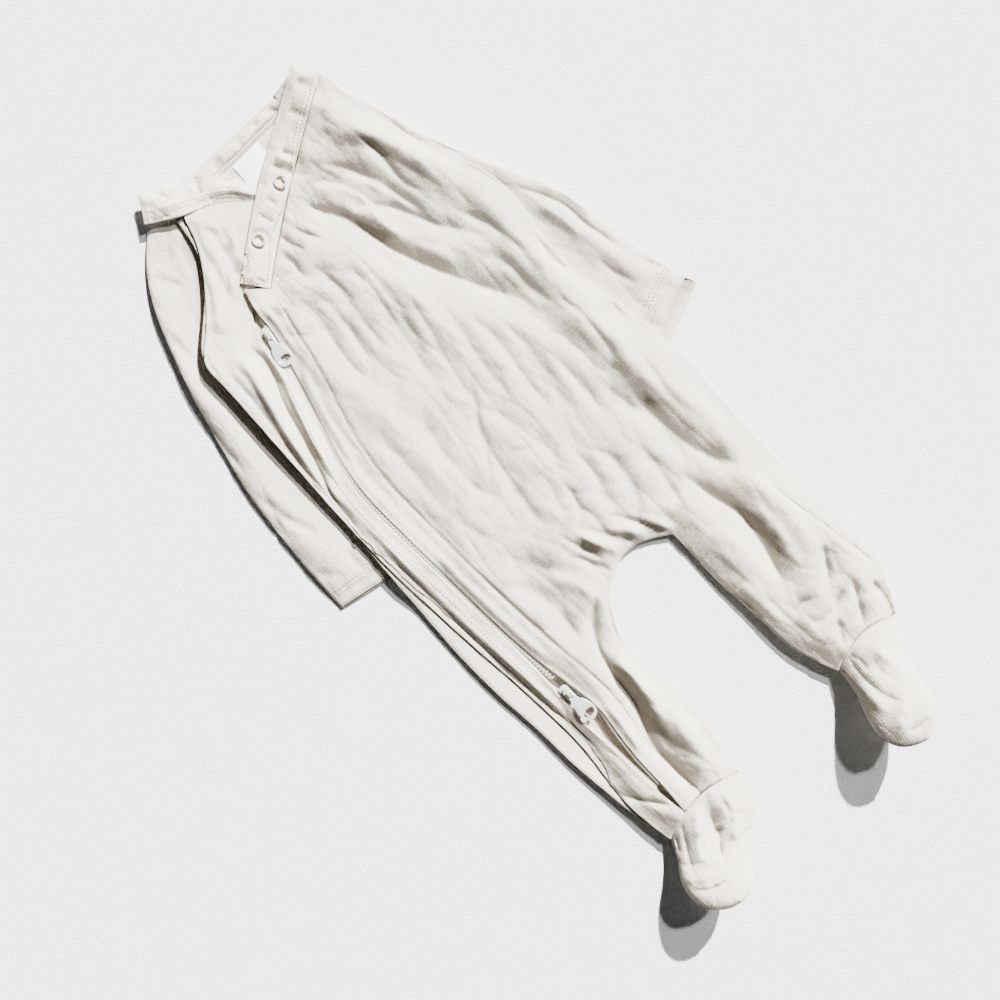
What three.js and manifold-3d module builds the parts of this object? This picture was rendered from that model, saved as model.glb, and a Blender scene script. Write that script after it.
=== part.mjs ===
// A footed baby sleepsuit, laid on its back on a table with its toes turned up.
// Millimetres. +X is the wearer's left, +Y runs to the head and +Z is up from the table.
// Every place is measured from a point on the chest, and the last group moves that point so
// that the origin is under the middle of the whole suit.

import * as THREE from "three";
import { ParametricGeometry } from "three/addons/geometries/ParametricGeometry.js";
import { mergeGeometries, mergeVertices } from "three/addons/utils/BufferGeometryUtils.js";
import Module from "manifold-3d";

const wasm = await Module();
wasm.setup();

const { lerp, clamp, degToRad } = THREE.MathUtils;

// Where the middle of the suit lies, seen from the point on the chest
const MIDDLE = { x: 25.83, y: 15.65 };

// Cloth and trim, by thickness
const WALL = 1.6;
const BAND = 2.4;
const TAPE = 0.7;
const LABEL = 0.5;

// Room between pieces: side by side at a seam, one on the other, and where a foot is sewn on
const GAP = 0.3;
const LAYER_GAP = 0.6;
const ANKLE_GAP = 0.9;

// A sleeve lies flat, and the body lies on the inner part of each sleeve. It starts to rise a
// ramp's length and a margin before the sleeve's edge.
const SLEEVE_HEIGHT = 3.6;
const SLEEVE_STACK = SLEEVE_HEIGHT + LAYER_GAP;
const RAMP = 13;
const SLEEVE_MARGIN = 3;

// The left front laps over the right one and its neckband
const LAP = BAND + 2 * LAYER_GAP;
const LAP_RAMP = 8;

// Room that the zip needs between the back and the fronts, and how far to each side
const ZIP_ROOM = 3.1;
const ZIP_ROOM_REACH = 12;

// How far in from an edge the fronts reach their full height, and a side its curl ends
const PUFF_REACH = 15;
const CURL_REACH = 17;

const NECKBAND_WIDTH = 18;

// Share of the seat's length over which the crotch's arch grows, and of a sleeve's its hem
const ARCH_SHARE = 0.3;
const HEM_SHARE = 0.1;

// A foot's start, as a share of its length: where it leaves the leg's direction, where its
// folds are full, and how far ahead and behind its direction is taken from
const ANKLE_SHARE = 0.2;
const FOLD_SHARE = 0.11;
const DIRECTION_SHARE = 0.04;
// Narrower than this from the middle to a side, the wall at a foot's tip gets thinner
const TIP_HALF = 8;

// Where the neckband's seam lies from the left front's edge: the way, and how far
const BAND_WAY = new THREE.Vector3(-0.5, 0.85, 0);
const BAND_OFF = 0.8;

// Sections across the suit below the arms, from the right edge of the back to the left edge.
// back: right edge of the back. front: right edge of the right front. zipR and zipL: the right
// and left cloth edges at the zip. hem: the stitched line beside the zip. legR and legL: the
// lines that end at the crotch and go on as the inner edges of the legs. left: left edge.
const SECTIONS = [
  { y: 165, back: -78, front: -78, zipR: -41.2, zipL: -38, hem: -24.5, legR: 5, legL: 50, left: 131 },
  { y: 135, back: -80, front: -80, zipR: -49.5, zipL: -46.8, hem: -33, legR: 3, legL: 50, left: 133.5 },
  { y: 105, back: -82, front: -82, zipR: -60, zipL: -57, hem: -41, legR: 1, legL: 50, left: 127.5 },
  { y: 75, back: -84.5, front: -84, zipR: -67, zipL: -63, hem: -48, legR: 0, legL: 51, left: 128 },
  { y: 45, back: -86.5, front: -85, zipR: -67.5, zipL: -63.5, hem: -49, legR: -1, legL: 52, left: 132.5 },
  { y: 15, back: -89, front: -85, zipR: -67, zipL: -63.3, hem: -48.5, legR: -1, legL: 53, left: 136 },
  { y: -15, back: -91.5, front: -84, zipR: -66.5, zipL: -63, hem: -47.5, legR: -1, legL: 54, left: 137 },
  { y: -45, back: -93.5, front: -82.5, zipR: -66, zipL: -62.5, hem: -47, legR: 0, legL: 55, left: 135.5 },
  { y: -80, back: -93, front: -80, zipR: -65.5, zipL: -60, hem: -46, legR: -2, legL: 54.5, left: 133 },
  { y: -105, back: -91, front: -79, zipR: -66.8, zipL: -56, hem: -43, legR: -16, legL: 54, left: 133.5 },
  { y: -125, back: -91, front: -78.5, zipR: -68, zipL: -54.3, hem: -42, legR: -15.5, legL: 53.5, left: 136.5 },
  { y: -145, back: -90, front: -80, zipR: -66.5, zipL: -57.5, hem: -46, legR: -12.5, legL: 55, left: 137 },
  { y: -165, back: -88, front: -83, zipR: -66, zipL: -59.5, hem: -49, legR: -12.5, legL: 55.5, left: 136.8 },
  { y: -185, back: -86, front: -84, zipR: -65, zipL: -60, hem: -48, legR: -15, legL: 57, left: 133 },
  { y: -212, back: -80.5, front: -80.3, zipR: -62.9, zipL: -61.6, hem: -47, legR: -20.5, legL: 67, left: 117 },
];
const CROTCH_Y = -80;
const CROTCH_RISE = 13;
const ANKLE_TOP_Y = -185;
const ANKLE_Y = -212;

// The two ankles: where each starts and ends across the suit
const ANKLES = {
  right: { from: -80.5, to: -20.5 },
  left: { from: 67, to: 117 },
};
// At the ankle the front ends higher up the leg than its edges, and the back lower, at the heel
const INSTEP_RISE = 8;
const HEEL_DROP = -7;

// Sections of the back above the first of SECTIONS, along the raglan seams
const BACK_CHEST = [
  { y: 277, right: -26, left: 92 },
  { y: 250, right: -31, left: 101 },
  { y: 226, right: -49, left: 107 },
  { y: 203, right: -75, left: 113 },
  { y: 185, right: -77, left: 121 },
];

// Sections of the right front above them, from the raglan seam to the edge under the left front
const RIGHT_CHEST = [
  { seamX: -21, seamY: 273.7, lapX: 16.7, lapY: 249, bow: 4.5 },
  { seamX: -29, seamY: 252, lapX: 6, lapY: 236, bow: 2.5 },
  { seamX: -46, seamY: 228.5, lapX: -10, lapY: 220, bow: 1 },
  { seamX: -63, seamY: 210.5, lapX: -26.5, lapY: 208, bow: 0 },
  { seamX: -76, seamY: 199, lapX: -37.5, lapY: 197, bow: 0 },
  { seamX: -77, seamY: 184, lapX: -40.3, lapY: 184, bow: 0 },
];

// Sections of the left front above them, fanned out below the neckband
const LEFT_CHEST = [
  { flapX: -26.6, flapY: 214.8, hemX: -14.6, hemY: 204.1, sideX: 101.5, sideY: 275.8, bow: 3 },
  { flapX: -31, flapY: 200, hemX: -16.5, hemY: 192, sideX: 107, sideY: 240, bow: 1 },
  { flapX: -32.4, flapY: 184, hemX: -21, hemY: 179, sideX: 117, sideY: 198, bow: 0 },
];

// Height of the fronts over the back, and how much each side of the suit curls up
const HEIGHTS = [
  { y: 290, puff: 0.8, curlRight: 0, curlLeft: 0 },
  { y: 250, puff: 2, curlRight: 2, curlLeft: 0.5 },
  { y: 200, puff: 3.4, curlRight: 9, curlLeft: 1 },
  { y: 150, puff: 3.6, curlRight: 7, curlLeft: 0.8 },
  { y: 90, puff: 3.6, curlRight: 4, curlLeft: 0.6 },
  { y: 0, puff: 3.6, curlRight: 2.4, curlLeft: 0.6 },
  { y: -80, puff: 3.8, curlRight: 2.6, curlLeft: 1 },
  { y: -125, puff: 5, curlRight: 3, curlLeft: 2 },
  { y: -165, puff: 8, curlRight: 4.4, curlLeft: 4.2 },
  { y: -230, puff: 12.5, curlRight: 7, curlLeft: 7 },
];

// The largest creases, from one end to the other: a trough where height is below nothing
const CREASES = [
  { x0: 40, y0: 226, x1: 55, y1: 170, width: 9, height: -2.6 },
  { x0: 55, y0: 170, x1: 80, y1: 110, width: 10, height: -2.8 },
  { x0: 80, y0: 110, x1: 92, y1: 72, width: 9, height: -2 },
  { x0: 20, y0: 205, x1: 45, y1: 130, width: 12, height: 1 },
  { x0: 95, y0: 215, x1: 112, y1: 150, width: 10, height: -1.5 },
  { x0: -50, y0: 182, x1: -68, y1: 120, width: 5, height: -2.6 },
  { x0: -68, y0: 120, x1: -80, y1: 75, width: 5, height: -2.4 },
  { x0: 126, y0: 118, x1: 123, y1: 70, width: 5, height: -2 },
  { x0: 123, y0: 70, x1: 127, y1: 25, width: 5, height: -1.8 },
  { x0: 101, y0: -10, x1: 104, y1: -60, width: 8, height: -2.4 },
  { x0: 104, y0: -60, x1: 114, y1: -84, width: 6, height: -2 },
  { x0: 86, y0: -60, x1: 91, y1: -115, width: 8, height: -3 },
  { x0: 91, y0: -115, x1: 76, y1: -160, width: 8, height: -3.4 },
  { x0: 115, y0: -150, x1: 100, y1: -170, width: 5, height: -2.5 },
  { x0: 7, y0: -33, x1: 15, y1: -58, width: 4, height: -2.4 },
  { x0: 18, y0: -42, x1: 32, y1: -64, width: 4, height: -2.4 },
  { x0: 40, y0: -50, x1: 52, y1: -74, width: 4, height: -2.4 },
  { x0: 12, y0: -36, x1: 23, y1: -60, width: 4, height: 1.6 },
  { x0: 30, y0: -44, x1: 42, y1: -68, width: 4, height: 1.4 },
  { x0: -20, y0: -25, x1: -30, y1: -75, width: 14, height: -1.6 },
  { x0: -18, y0: -86, x1: -37, y1: -125, width: 7, height: -3.6 },
  { x0: -37, y0: -125, x1: -48, y1: -165, width: 6, height: -4.6 },
  { x0: -48, y0: -165, x1: -46, y1: -200, width: 5, height: -5 },
];

// Sections of each sleeve from the neckband to the cuff, from its outer edge to its inner one
const SLEEVES = {
  right: {
    cuffDrop: 1.5,
    sections: [
      { outerX: -45, outerY: 284.5, innerX: -22, innerY: 276 },
      { outerX: -61, outerY: 270, innerX: -20, innerY: 258 },
      { outerX: -76, outerY: 247, innerX: -26, innerY: 240 },
      { outerX: -88, outerY: 218, innerX: -44, innerY: 219 },
      { outerX: -99, outerY: 187, innerX: -62, innerY: 190 },
      { outerX: -107, outerY: 158, innerX: -66, innerY: 158 },
      { outerX: -115, outerY: 128, innerX: -67, innerY: 126 },
      { outerX: -119.5, outerY: 98, innerX: -68, innerY: 94 },
      { outerX: -123, outerY: 64, innerX: -69, innerY: 60 },
      { outerX: -124.5, outerY: 34, innerX: -70, innerY: 22 },
    ],
    ridges: [
      { x0: -92, y0: 205, x1: -104, y1: 130, width: 8, height: 1.6 },
      { x0: -112, y0: 84, x1: -104, y1: 50, width: 7, height: 1.4 },
    ],
  },
  left: {
    cuffDrop: 8,
    sections: [
      { outerX: 101.5, outerY: 273, innerX: 84, innerY: 262 },
      { outerX: 110, outerY: 250, innerX: 92, innerY: 240 },
      { outerX: 119, outerY: 214, innerX: 99, innerY: 212 },
      { outerX: 130, outerY: 184, innerX: 106, innerY: 188 },
      { outerX: 141, outerY: 158, innerX: 119, innerY: 162 },
      { outerX: 151, outerY: 138, innerX: 121, innerY: 138 },
      { outerX: 159, outerY: 115, innerX: 114, innerY: 112 },
      { outerX: 163, outerY: 88, innerX: 112, innerY: 88 },
      { outerX: 166.5, outerY: 60, innerX: 114, innerY: 58 },
      { outerX: 174.5, outerY: 28.5, innerX: 119, innerY: 6 },
    ],
    ridges: [
      { x0: 148, y0: 146, x1: 160, y1: 92, width: 5, height: 2 },
      { x0: 142, y0: 128, x1: 148, y1: 60, width: 6, height: 1.6 },
    ],
  },
};

// Sections of each foot from the ankle to the toe, between its two side seams.
// crown and belly: how far the upper stands up from the seams and the sole hangs down.
const FEET = {
  right: {
    ankle: ANKLES.right,
    sections: [
      { x0: -80.4, y0: -212, z0: 8, x1: -20.6, y1: -212, z1: 8, crown: 8, belly: 8 },
      { x0: -85, y0: -222, z0: 13, x1: -24, y1: -229, z1: 8.5, crown: 12, belly: 10.5 },
      { x0: -93.5, y0: -232, z0: 21, x1: -37, y1: -240, z1: 12, crown: 12, belly: 11 },
      { x0: -95.5, y0: -241, z0: 29, x1: -50, y1: -248, z1: 21, crown: 11, belly: 10 },
      { x0: -94, y0: -249, z0: 35, x1: -55.5, y1: -253.5, z1: 29, crown: 9, belly: 8 },
      { x0: -88.5, y0: -254.5, z0: 39, x1: -60, y1: -258.5, z1: 34.5, crown: 6.5, belly: 6 },
      { x0: -82, y0: -258, z0: 41.5, x1: -66, y1: -260.5, z1: 39, crown: 4, belly: 4 },
      { x0: -75.2, y0: -260.6, z0: 41.5, x1: -72.8, y1: -260.9, z1: 41, crown: 1, belly: 1 },
    ],
    folds: [
      { x0: -50, y0: -212, x1: -55, y1: -224, width: 4, height: -6 },
      { x0: -55, y0: -224, x1: -64, y1: -236, width: 4, height: -5 },
    ],
  },
  left: {
    ankle: ANKLES.left,
    sections: [
      { x0: 67.1, y0: -212, z0: 8, x1: 116.9, y1: -212, z1: 8, crown: 8, belly: 8 },
      { x0: 65.5, y0: -226, z0: 13, x1: 105, y1: -226, z1: 13, crown: 12, belly: 12 },
      { x0: 59.5, y0: -237, z0: 21, x1: 100.5, y1: -237, z1: 21, crown: 12, belly: 11 },
      { x0: 55.5, y0: -247, z0: 29, x1: 97.5, y1: -247, z1: 28, crown: 11, belly: 10 },
      { x0: 55, y0: -255, z0: 35, x1: 94.5, y1: -255, z1: 34, crown: 9, belly: 8 },
      { x0: 58, y0: -262, z0: 39.5, x1: 91, y1: -262, z1: 38.5, crown: 6.5, belly: 6 },
      { x0: 64, y0: -267, z0: 42, x1: 84, y1: -267, z1: 41, crown: 4, belly: 4 },
      { x0: 72.5, y0: -270, z0: 43, x1: 75, y1: -270, z1: 42.8, crown: 1, belly: 1 },
    ],
    folds: [],
  },
};

// The zip: where each slider stands, how far it is turned, and the zip's two ends
const SLIDERS = {
  upper: { x: -36.4, y: 185, turn: -8 },
  lower: { x: -61.6, y: -103, turn: 3 },
};
const TAPE_WIDTH = 5;
const TAPE_SHOWS = 0.8;
const SLIDER = {
  width: 6.2, tail: 4.6, length: 11, top: 1.2, bottom: 0.7, post: 1.1,
  archWidth: 1.4, archLength: 6.6, archHeight: 3.6, archBar: 1,
};
const PULL = {
  thick: 1.1, pivot: 1.45, armHalf: 2.1, slotHalf: 1.1, slotEnd: 4.3,
  neckHalf: 2.6, neckAt: 8, ringAt: 17.5, ringX: 5.6, ringY: 5.2, holeX: 4, holeY: 2.4,
};

// Snaps of the neckband, and the bare label at the back of the neck
const SNAPS = {
  upper: { x: 36.7, y: 246.3 },
  lower: { x: 1.8, y: 230 },
};
const SNAP = { inner: 2.9, outer: 4.45, height: 1.1, round: 0.35, facets: 16 };
const LABEL_PLACE = { left: 22, right: 44, low: 256.5, high: 276 };

const CLOTH = new THREE.MeshStandardMaterial({ color: 0xf1ebe0, roughness: 0.95, metalness: 0 });
const RIB = new THREE.MeshStandardMaterial({ color: 0xf3eee4, roughness: 0.92, metalness: 0 });
const WEBBING = new THREE.MeshStandardMaterial({ color: 0xece6da, roughness: 0.85, metalness: 0 });
const METAL = new THREE.MeshStandardMaterial({ color: 0xe9e8e6, roughness: 0.35, metalness: 0.7 });
const PAPER = new THREE.MeshStandardMaterial({ color: 0xfafafa, roughness: 0.6, metalness: 0 });

/** Goes smoothly from 0 to 1 as t does. */
const ease = (t) => THREE.MathUtils.smoothstep(t, 0, 1);

/** Reads a table's column at any y between its rows, which run downwards. */
function atY(rows, column, y) {
  const next = rows.findIndex((row) => row.y <= y);
  if (next === 0) return rows[0][column];
  if (next < 0) return rows.at(-1)[column];
  const [upper, lower] = [rows[next - 1], rows[next]];
  return lerp(lower[column], upper[column], (y - lower.y) / (upper.y - lower.y));
}

/** Distance from a point to the stretch between two others, and the side that it lies on. */
function toStretch(x, y, a, b) {
  const [dx, dy] = [b.x - a.x, b.y - a.y];
  const along = clamp(((x - a.x) * dx + (y - a.y) * dy) / (dx * dx + dy * dy), 0, 1);
  const distance = Math.hypot(x - a.x - dx * along, y - a.y - dy * along);
  const side = Math.sign(dx * (y - a.y) - dy * (x - a.x));
  return { distance, side };
}

/** The nearest stretch of a line to a point. */
function toLine(x, y, line) {
  let best = { distance: Infinity, side: 1 };
  for (let i = 1; i < line.length; i += 1) {
    const here = toStretch(x, y, line[i - 1], line[i]);
    if (here.distance < best.distance) best = here;
  }
  return best;
}

/** The sum of a table of creases at a point. */
function creases(rows, x, y) {
  return rows.reduce((sum, row) => {
    const { distance } = toStretch(x, y, { x: row.x0, y: row.y0 }, { x: row.x1, y: row.y1 });
    return sum + row.height * Math.exp(-((distance / row.width) ** 2));
  }, 0);
}

/** A line through two columns of a table, a curve through points, and a line of SECTIONS. */
const edge = (rows, x, y) => rows.map((row) => new THREE.Vector3(row[x], row[y], 0));
const through = (points) => new THREE.CatmullRomCurve3(points, false, "centripetal");
const column = (name) => edge(SECTIONS, name, "y");

// The outline of the suit, as lines that the heights are measured from
const RIGHT_LINE = [...edge(BACK_CHEST, "right", "y"), ...column("back")];
const FRONT_RIGHT_LINE = [...edge(RIGHT_CHEST, "seamX", "seamY"), ...column("front")];
const LEFT_LINE = [...edge(BACK_CHEST, "left", "y"), ...column("left")];
const LEGS = SECTIONS.filter((row) => row.y <= CROTCH_Y);
const INSEAM_LINE = [
  ...edge(LEGS, "legR", "y").reverse(),
  new THREE.Vector3(26, CROTCH_Y + CROTCH_RISE, 0),
  ...edge(LEGS, "legL", "y"),
];
const LAP_LINE = [new THREE.Vector3(31, 243, 0), ...edge(RIGHT_CHEST.slice(1, 5), "lapX", "lapY")];
const ZIP_LINE = SECTIONS.map((row) => new THREE.Vector3((row.zipR + row.zipL) / 2, row.y, 0));

/** How far the sleeve on one side lifts the body that lies on it. */
function sleeveLift(side, x, y) {
  const { sections, cuffDrop } = SLEEVES[side];
  const rows = sections.map((row) => ({ y: row.innerY, inner: row.innerX }));
  const inner = atY(rows, "inner", y);
  const over = side === "right" ? inner - x : x - inner;
  const below = y - (sections.at(-1).innerY - cuffDrop);
  const rise = (distance) => ease((distance + RAMP + SLEEVE_MARGIN) / RAMP);
  return SLEEVE_STACK * rise(over) * rise(below);
}

/** The underside of the back. */
function backUnder(x, y) {
  const lift = Math.max(sleeveLift("right", x, y), sleeveLift("left", x, y));
  const inset = Math.min(
    toLine(x, y, RIGHT_LINE).distance,
    toLine(x, y, INSEAM_LINE).distance,
    toLine(x, y, LEFT_LINE).distance,
  );
  const leftward = ease((x + 20) / 90);
  const curl = lerp(atY(HEIGHTS, "curlRight", y), atY(HEIGHTS, "curlLeft", y), leftward);
  return lift + curl * (1 - ease(inset / CURL_REACH));
}

/** The underside of the fronts. */
function frontUnder(x, y) {
  const inset = Math.min(
    toLine(x, y, FRONT_RIGHT_LINE).distance,
    toLine(x, y, INSEAM_LINE).distance,
    toLine(x, y, LEFT_LINE).distance,
  );
  const puff = (atY(HEIGHTS, "puff", y) + creases(CREASES, x, y)) * ease(inset / PUFF_REACH);
  const nearZip = 1 - ease(toLine(x, y, ZIP_LINE).distance / ZIP_ROOM_REACH - 0.5);
  return backUnder(x, y) + WALL + LAYER_GAP + Math.max(puff, ZIP_ROOM * nearZip, 0);
}

/** The underside of the left front, which climbs over the right one where it laps. */
function lappedUnder(x, y) {
  const { distance, side } = toLine(x, y, LAP_LINE);
  return frontUnder(x, y) + LAP * ease((LAP_RAMP + 1 - side * distance) / LAP_RAMP);
}

/** The underside of the neckband that laps, which also clears the back neckband. */
function overlapUnder(x, y) {
  return Math.max(lappedUnder(x, y), backUnder(x, y) + BAND + LAYER_GAP);
}

/** Turns a list of triangles round where they enclose less than nothing. */
function facingOut(positions, triangles) {
  const [a, b, c] = [new THREE.Vector3(), new THREE.Vector3(), new THREE.Vector3()];
  let volume = 0;
  for (const [i, j, k] of triangles) {
    a.fromArray(positions, i * 3);
    b.fromArray(positions, j * 3);
    c.fromArray(positions, k * 3);
    volume += a.dot(b.cross(c));
  }
  return volume < 0 ? triangles.map(([i, j, k]) => [i, k, j]) : triangles;
}

/** The triangles of a merged geometry, without those that merging has closed up. */
function trianglesOf(geometry) {
  const indices = [...geometry.getIndex().array];
  const triangles = indices.flatMap((_, i) => (i % 3 === 0 ? [indices.slice(i, i + 3)] : []));
  return triangles.filter(([a, b, c]) => a !== b && b !== c && c !== a);
}

/** A closed mesh from its points and triangles. */
function closed(positions, triangles) {
  const geometry = new THREE.BufferGeometry();
  geometry.setAttribute("position", new THREE.Float32BufferAttribute(positions, 3));
  geometry.setIndex(facingOut(positions, triangles).flat());
  geometry.computeVertexNormals();
  return geometry;
}

/**
 * Cloth with two faces and a wall along every open edge. Each patch gives, for u across and
 * v along it, the point on its face and the one straight through the cloth.
 */
function cloth(patches) {
  const sheets = patches.map(({ face, inside, across, along }) => {
    const sheet = new ParametricGeometry((u, v, point) => point.copy(face(u, v)), across, along);
    const lining = new ParametricGeometry(
      (u, v, point) => point.copy(inside(u, v)),
      across,
      along,
    );
    sheet.deleteAttribute("normal");
    sheet.deleteAttribute("uv");
    sheet.setAttribute("inside", lining.getAttribute("position"));
    return sheet;
  });
  const sheet = mergeVertices(mergeGeometries(sheets), 0.001);
  const count = sheet.getAttribute("position").count;
  const positions = [
    ...sheet.getAttribute("position").array.slice(0, count * 3),
    ...sheet.getAttribute("inside").array.slice(0, count * 3),
  ];
  const faces = trianglesOf(sheet);
  const edges = faces.flatMap(([a, b, c]) => [[a, b], [b, c], [c, a]]);
  const used = new Set(edges.map(([a, b]) => `${a} ${b}`));
  const open = edges.filter(([a, b]) => !used.has(`${b} ${a}`));
  const lining = faces.map(([a, b, c]) => [a + count, c + count, b + count]);
  const walls = open.flatMap(([a, b]) => [[b, a, a + count], [b, a + count, b + count]]);
  return closed(positions, [...faces, ...lining, ...walls]);
}

/** A patch between two edges, with its underside at a given height and its y moved by shift. */
function panelPatch(from, to, under, thick, across, along, shift = (x, y) => y) {
  const spot = (u, v) => {
    const point = from(v).lerp(to(v), u);
    point.y = shift(point.x, point.y);
    return point;
  };
  const raised = (u, v, extra) => {
    const point = spot(u, v);
    point.z = under(point.x, point.y) + extra;
    return point;
  };
  return { face: (u, v) => raised(u, v, thick), inside: (u, v) => raised(u, v, 0), across, along };
}

/** Gives the y that moves the end of a leg to the curved ankle seam. */
function ankleShift(drop) {
  return (x, y) => {
    const { from, to } = x < (ANKLES.right.to + ANKLES.left.from) / 2 ? ANKLES.right : ANKLES.left;
    const across = clamp((x - from) / (to - from), 0, 1) * 2 - 1;
    const near = clamp((ANKLE_TOP_Y - y) / (ANKLE_TOP_Y - ANKLE_Y), 0, 1);
    return y + near * drop * (1 - across * across);
  };
}

// Steps along a panel between one section and the next
const STEPS = 2;

/** The patches of a panel whose edges are lists of points, the first ones above the crotch. */
function panelPatches(lines, columns, crotchRow, under, drop) {
  const shift = ankleShift(drop);
  const curves = lines.map((points) => through(points));
  const rows = lines[0].length - 1;
  const steps = rows * STEPS;
  return columns.map(({ from, to, across, seat }) => {
    if (!seat) {
      const [start, end] = [(v) => curves[from].getPoint(v), (v) => curves[to].getPoint(v)];
      return panelPatch(start, end, under, WALL, across, steps, shift);
    }
    const share = crotchRow / rows;
    const start = (v) => curves[from].getPoint(v * share);
    const end = (v) => curves[to].getPoint(v * share);
    const patch = panelPatch(start, end, under, WALL, across, crotchRow * STEPS, shift);
    const arched = (u, v, extra) => {
      const point = start(v).lerp(end(v), u);
      const low = ease((v - 1) / ARCH_SHARE + 1);
      point.y += low * CROTCH_RISE * Math.sin(Math.PI * u);
      point.z = under(point.x, point.y) + extra;
      return point;
    };
    return { ...patch, face: (u, v) => arched(u, v, WALL), inside: (u, v) => arched(u, v, 0) };
  });
}

/** A point part of the way along a section, with the section's bow. */
function bowed(a, b, share, bow) {
  const point = a.clone().lerp(b, share);
  const across = b.clone().sub(a).normalize();
  const lift = bow * 4 * share * (1 - share);
  return point.add(new THREE.Vector3(-across.y * lift, across.x * lift, 0));
}

const TOP = SECTIONS[0];

/** The back, from the neck to both ankles. */
function backGeometry() {
  const share = (name) => (TOP[name] - TOP.back) / (TOP.left - TOP.back);
  const chest = (name) => BACK_CHEST.map(
    (row) => new THREE.Vector3(lerp(row.right, row.left, share(name)), row.y, 0),
  );
  const lines = ["back", "legR", "legL", "left"].map((name) => [...chest(name), ...column(name)]);
  const crotchRow = BACK_CHEST.length + SECTIONS.findIndex((row) => row.y === CROTCH_Y);
  const columns = [
    { from: 0, to: 1, across: 7 },
    { from: 1, to: 2, across: 5, seat: true },
    { from: 2, to: 3, across: 7 },
  ];
  return cloth(panelPatches(lines, columns, crotchRow, backUnder, HEEL_DROP));
}

/** The points where a section of the left front crosses each column. */
function leftChestPoint(row, name) {
  if (name === "zipL") return new THREE.Vector3(row.flapX, row.flapY, 0);
  const hem = new THREE.Vector3(row.hemX, row.hemY, 0);
  const side = new THREE.Vector3(row.sideX, row.sideY, 0);
  const share = (TOP[name] - TOP.hem) / (TOP.left - TOP.hem);
  return bowed(hem, side, share, row.bow);
}

/** The left front with the left leg and the inner half of the right one. */
function leftFrontGeometry() {
  const names = ["zipL", "hem", "legR", "legL", "left"];
  const chest = (name) => LEFT_CHEST.map((row) => leftChestPoint(row, name));
  const lines = names.map((name) => [...chest(name), ...column(name)]);
  const crotchRow = LEFT_CHEST.length + SECTIONS.findIndex((row) => row.y === CROTCH_Y);
  const columns = [
    { from: 0, to: 1, across: 2 },
    { from: 1, to: 2, across: 5 },
    { from: 2, to: 3, across: 6, seat: true },
    { from: 3, to: 4, across: 9 },
  ];
  return cloth(panelPatches(lines, columns, crotchRow, lappedUnder, INSTEP_RISE));
}

/** The right front with the outer half of the right leg. */
function rightFrontGeometry() {
  const raglan = through([...edge(RIGHT_CHEST, "seamX", "seamY"), ...column("front")]);
  const zip = through([...edge(RIGHT_CHEST, "lapX", "lapY"), ...column("zipR")]);
  const rows = RIGHT_CHEST.length + SECTIONS.length - 1;
  const shift = ankleShift(INSTEP_RISE);
  const spot = (u, v, extra) => {
    const row = RIGHT_CHEST[Math.min(Math.round(v * rows), RIGHT_CHEST.length - 1)];
    const bow = v * rows < RIGHT_CHEST.length ? row.bow : 0;
    const point = bowed(raglan.getPoint(v), zip.getPoint(v), u, bow);
    point.y = shift(point.x, point.y);
    point.z = frontUnder(point.x, point.y) + extra;
    return point;
  };
  const patch = { face: (u, v) => spot(u, v, WALL), inside: (u, v) => spot(u, v, 0) };
  return cloth([{ ...patch, across: 4, along: rows * STEPS }]);
}

/** A flat tube of cloth: its ring goes once round the sleeve, along the top and back below. */
function sleeveGeometry({ sections, ridges, cuffDrop }) {
  const outer = through(edge(sections, "outerX", "outerY"));
  const inner = through(edge(sections, "innerX", "innerY"));
  const flat = 5;
  const cap = 2;
  const around = 2 * (flat + cap);
  const radius = SLEEVE_HEIGHT / 2;
  const ring = (u) => {
    const step = (u * around) % around;
    if (step < flat) return { share: step / flat, angle: Math.PI / 2 };
    if (step < flat + cap) return { share: 1, angle: Math.PI / 2 - ((step - flat) / cap) * Math.PI };
    if (step < 2 * flat + cap) return { share: 1 - (step - flat - cap) / flat, angle: -Math.PI / 2 };
    return { share: 0, angle: -Math.PI / 2 - ((step - 2 * flat - cap) / cap) * Math.PI };
  };
  const spot = (u, v, size) => {
    const { share, angle } = ring(Math.round(u * around) / around);
    const [start, end] = [inner.getPoint(v), outer.getPoint(v)];
    const across = end.clone().sub(start).normalize();
    start.addScaledVector(across, radius);
    end.addScaledVector(across, -radius);
    const point = start.lerp(end, share).addScaledVector(across, Math.cos(angle) * size);
    const upper = (1 + Math.sin(angle)) / 2;
    const hem = ease((v - 1) / HEM_SHARE + 1) * cuffDrop * (1 - upper);
    point.add(new THREE.Vector3(across.y * hem, -Math.abs(across.x) * hem, 0));
    const ridge = creases(ridges, point.x, point.y) * Math.sin(Math.PI * share) ** 0.5;
    point.z = radius + Math.sin(angle) * size + upper * ridge;
    return point;
  };
  const patch = { face: (u, v) => spot(u, v, radius), inside: (u, v) => spot(u, v, radius - WALL) };
  return cloth([{ ...patch, across: around, along: 13 }]);
}

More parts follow.
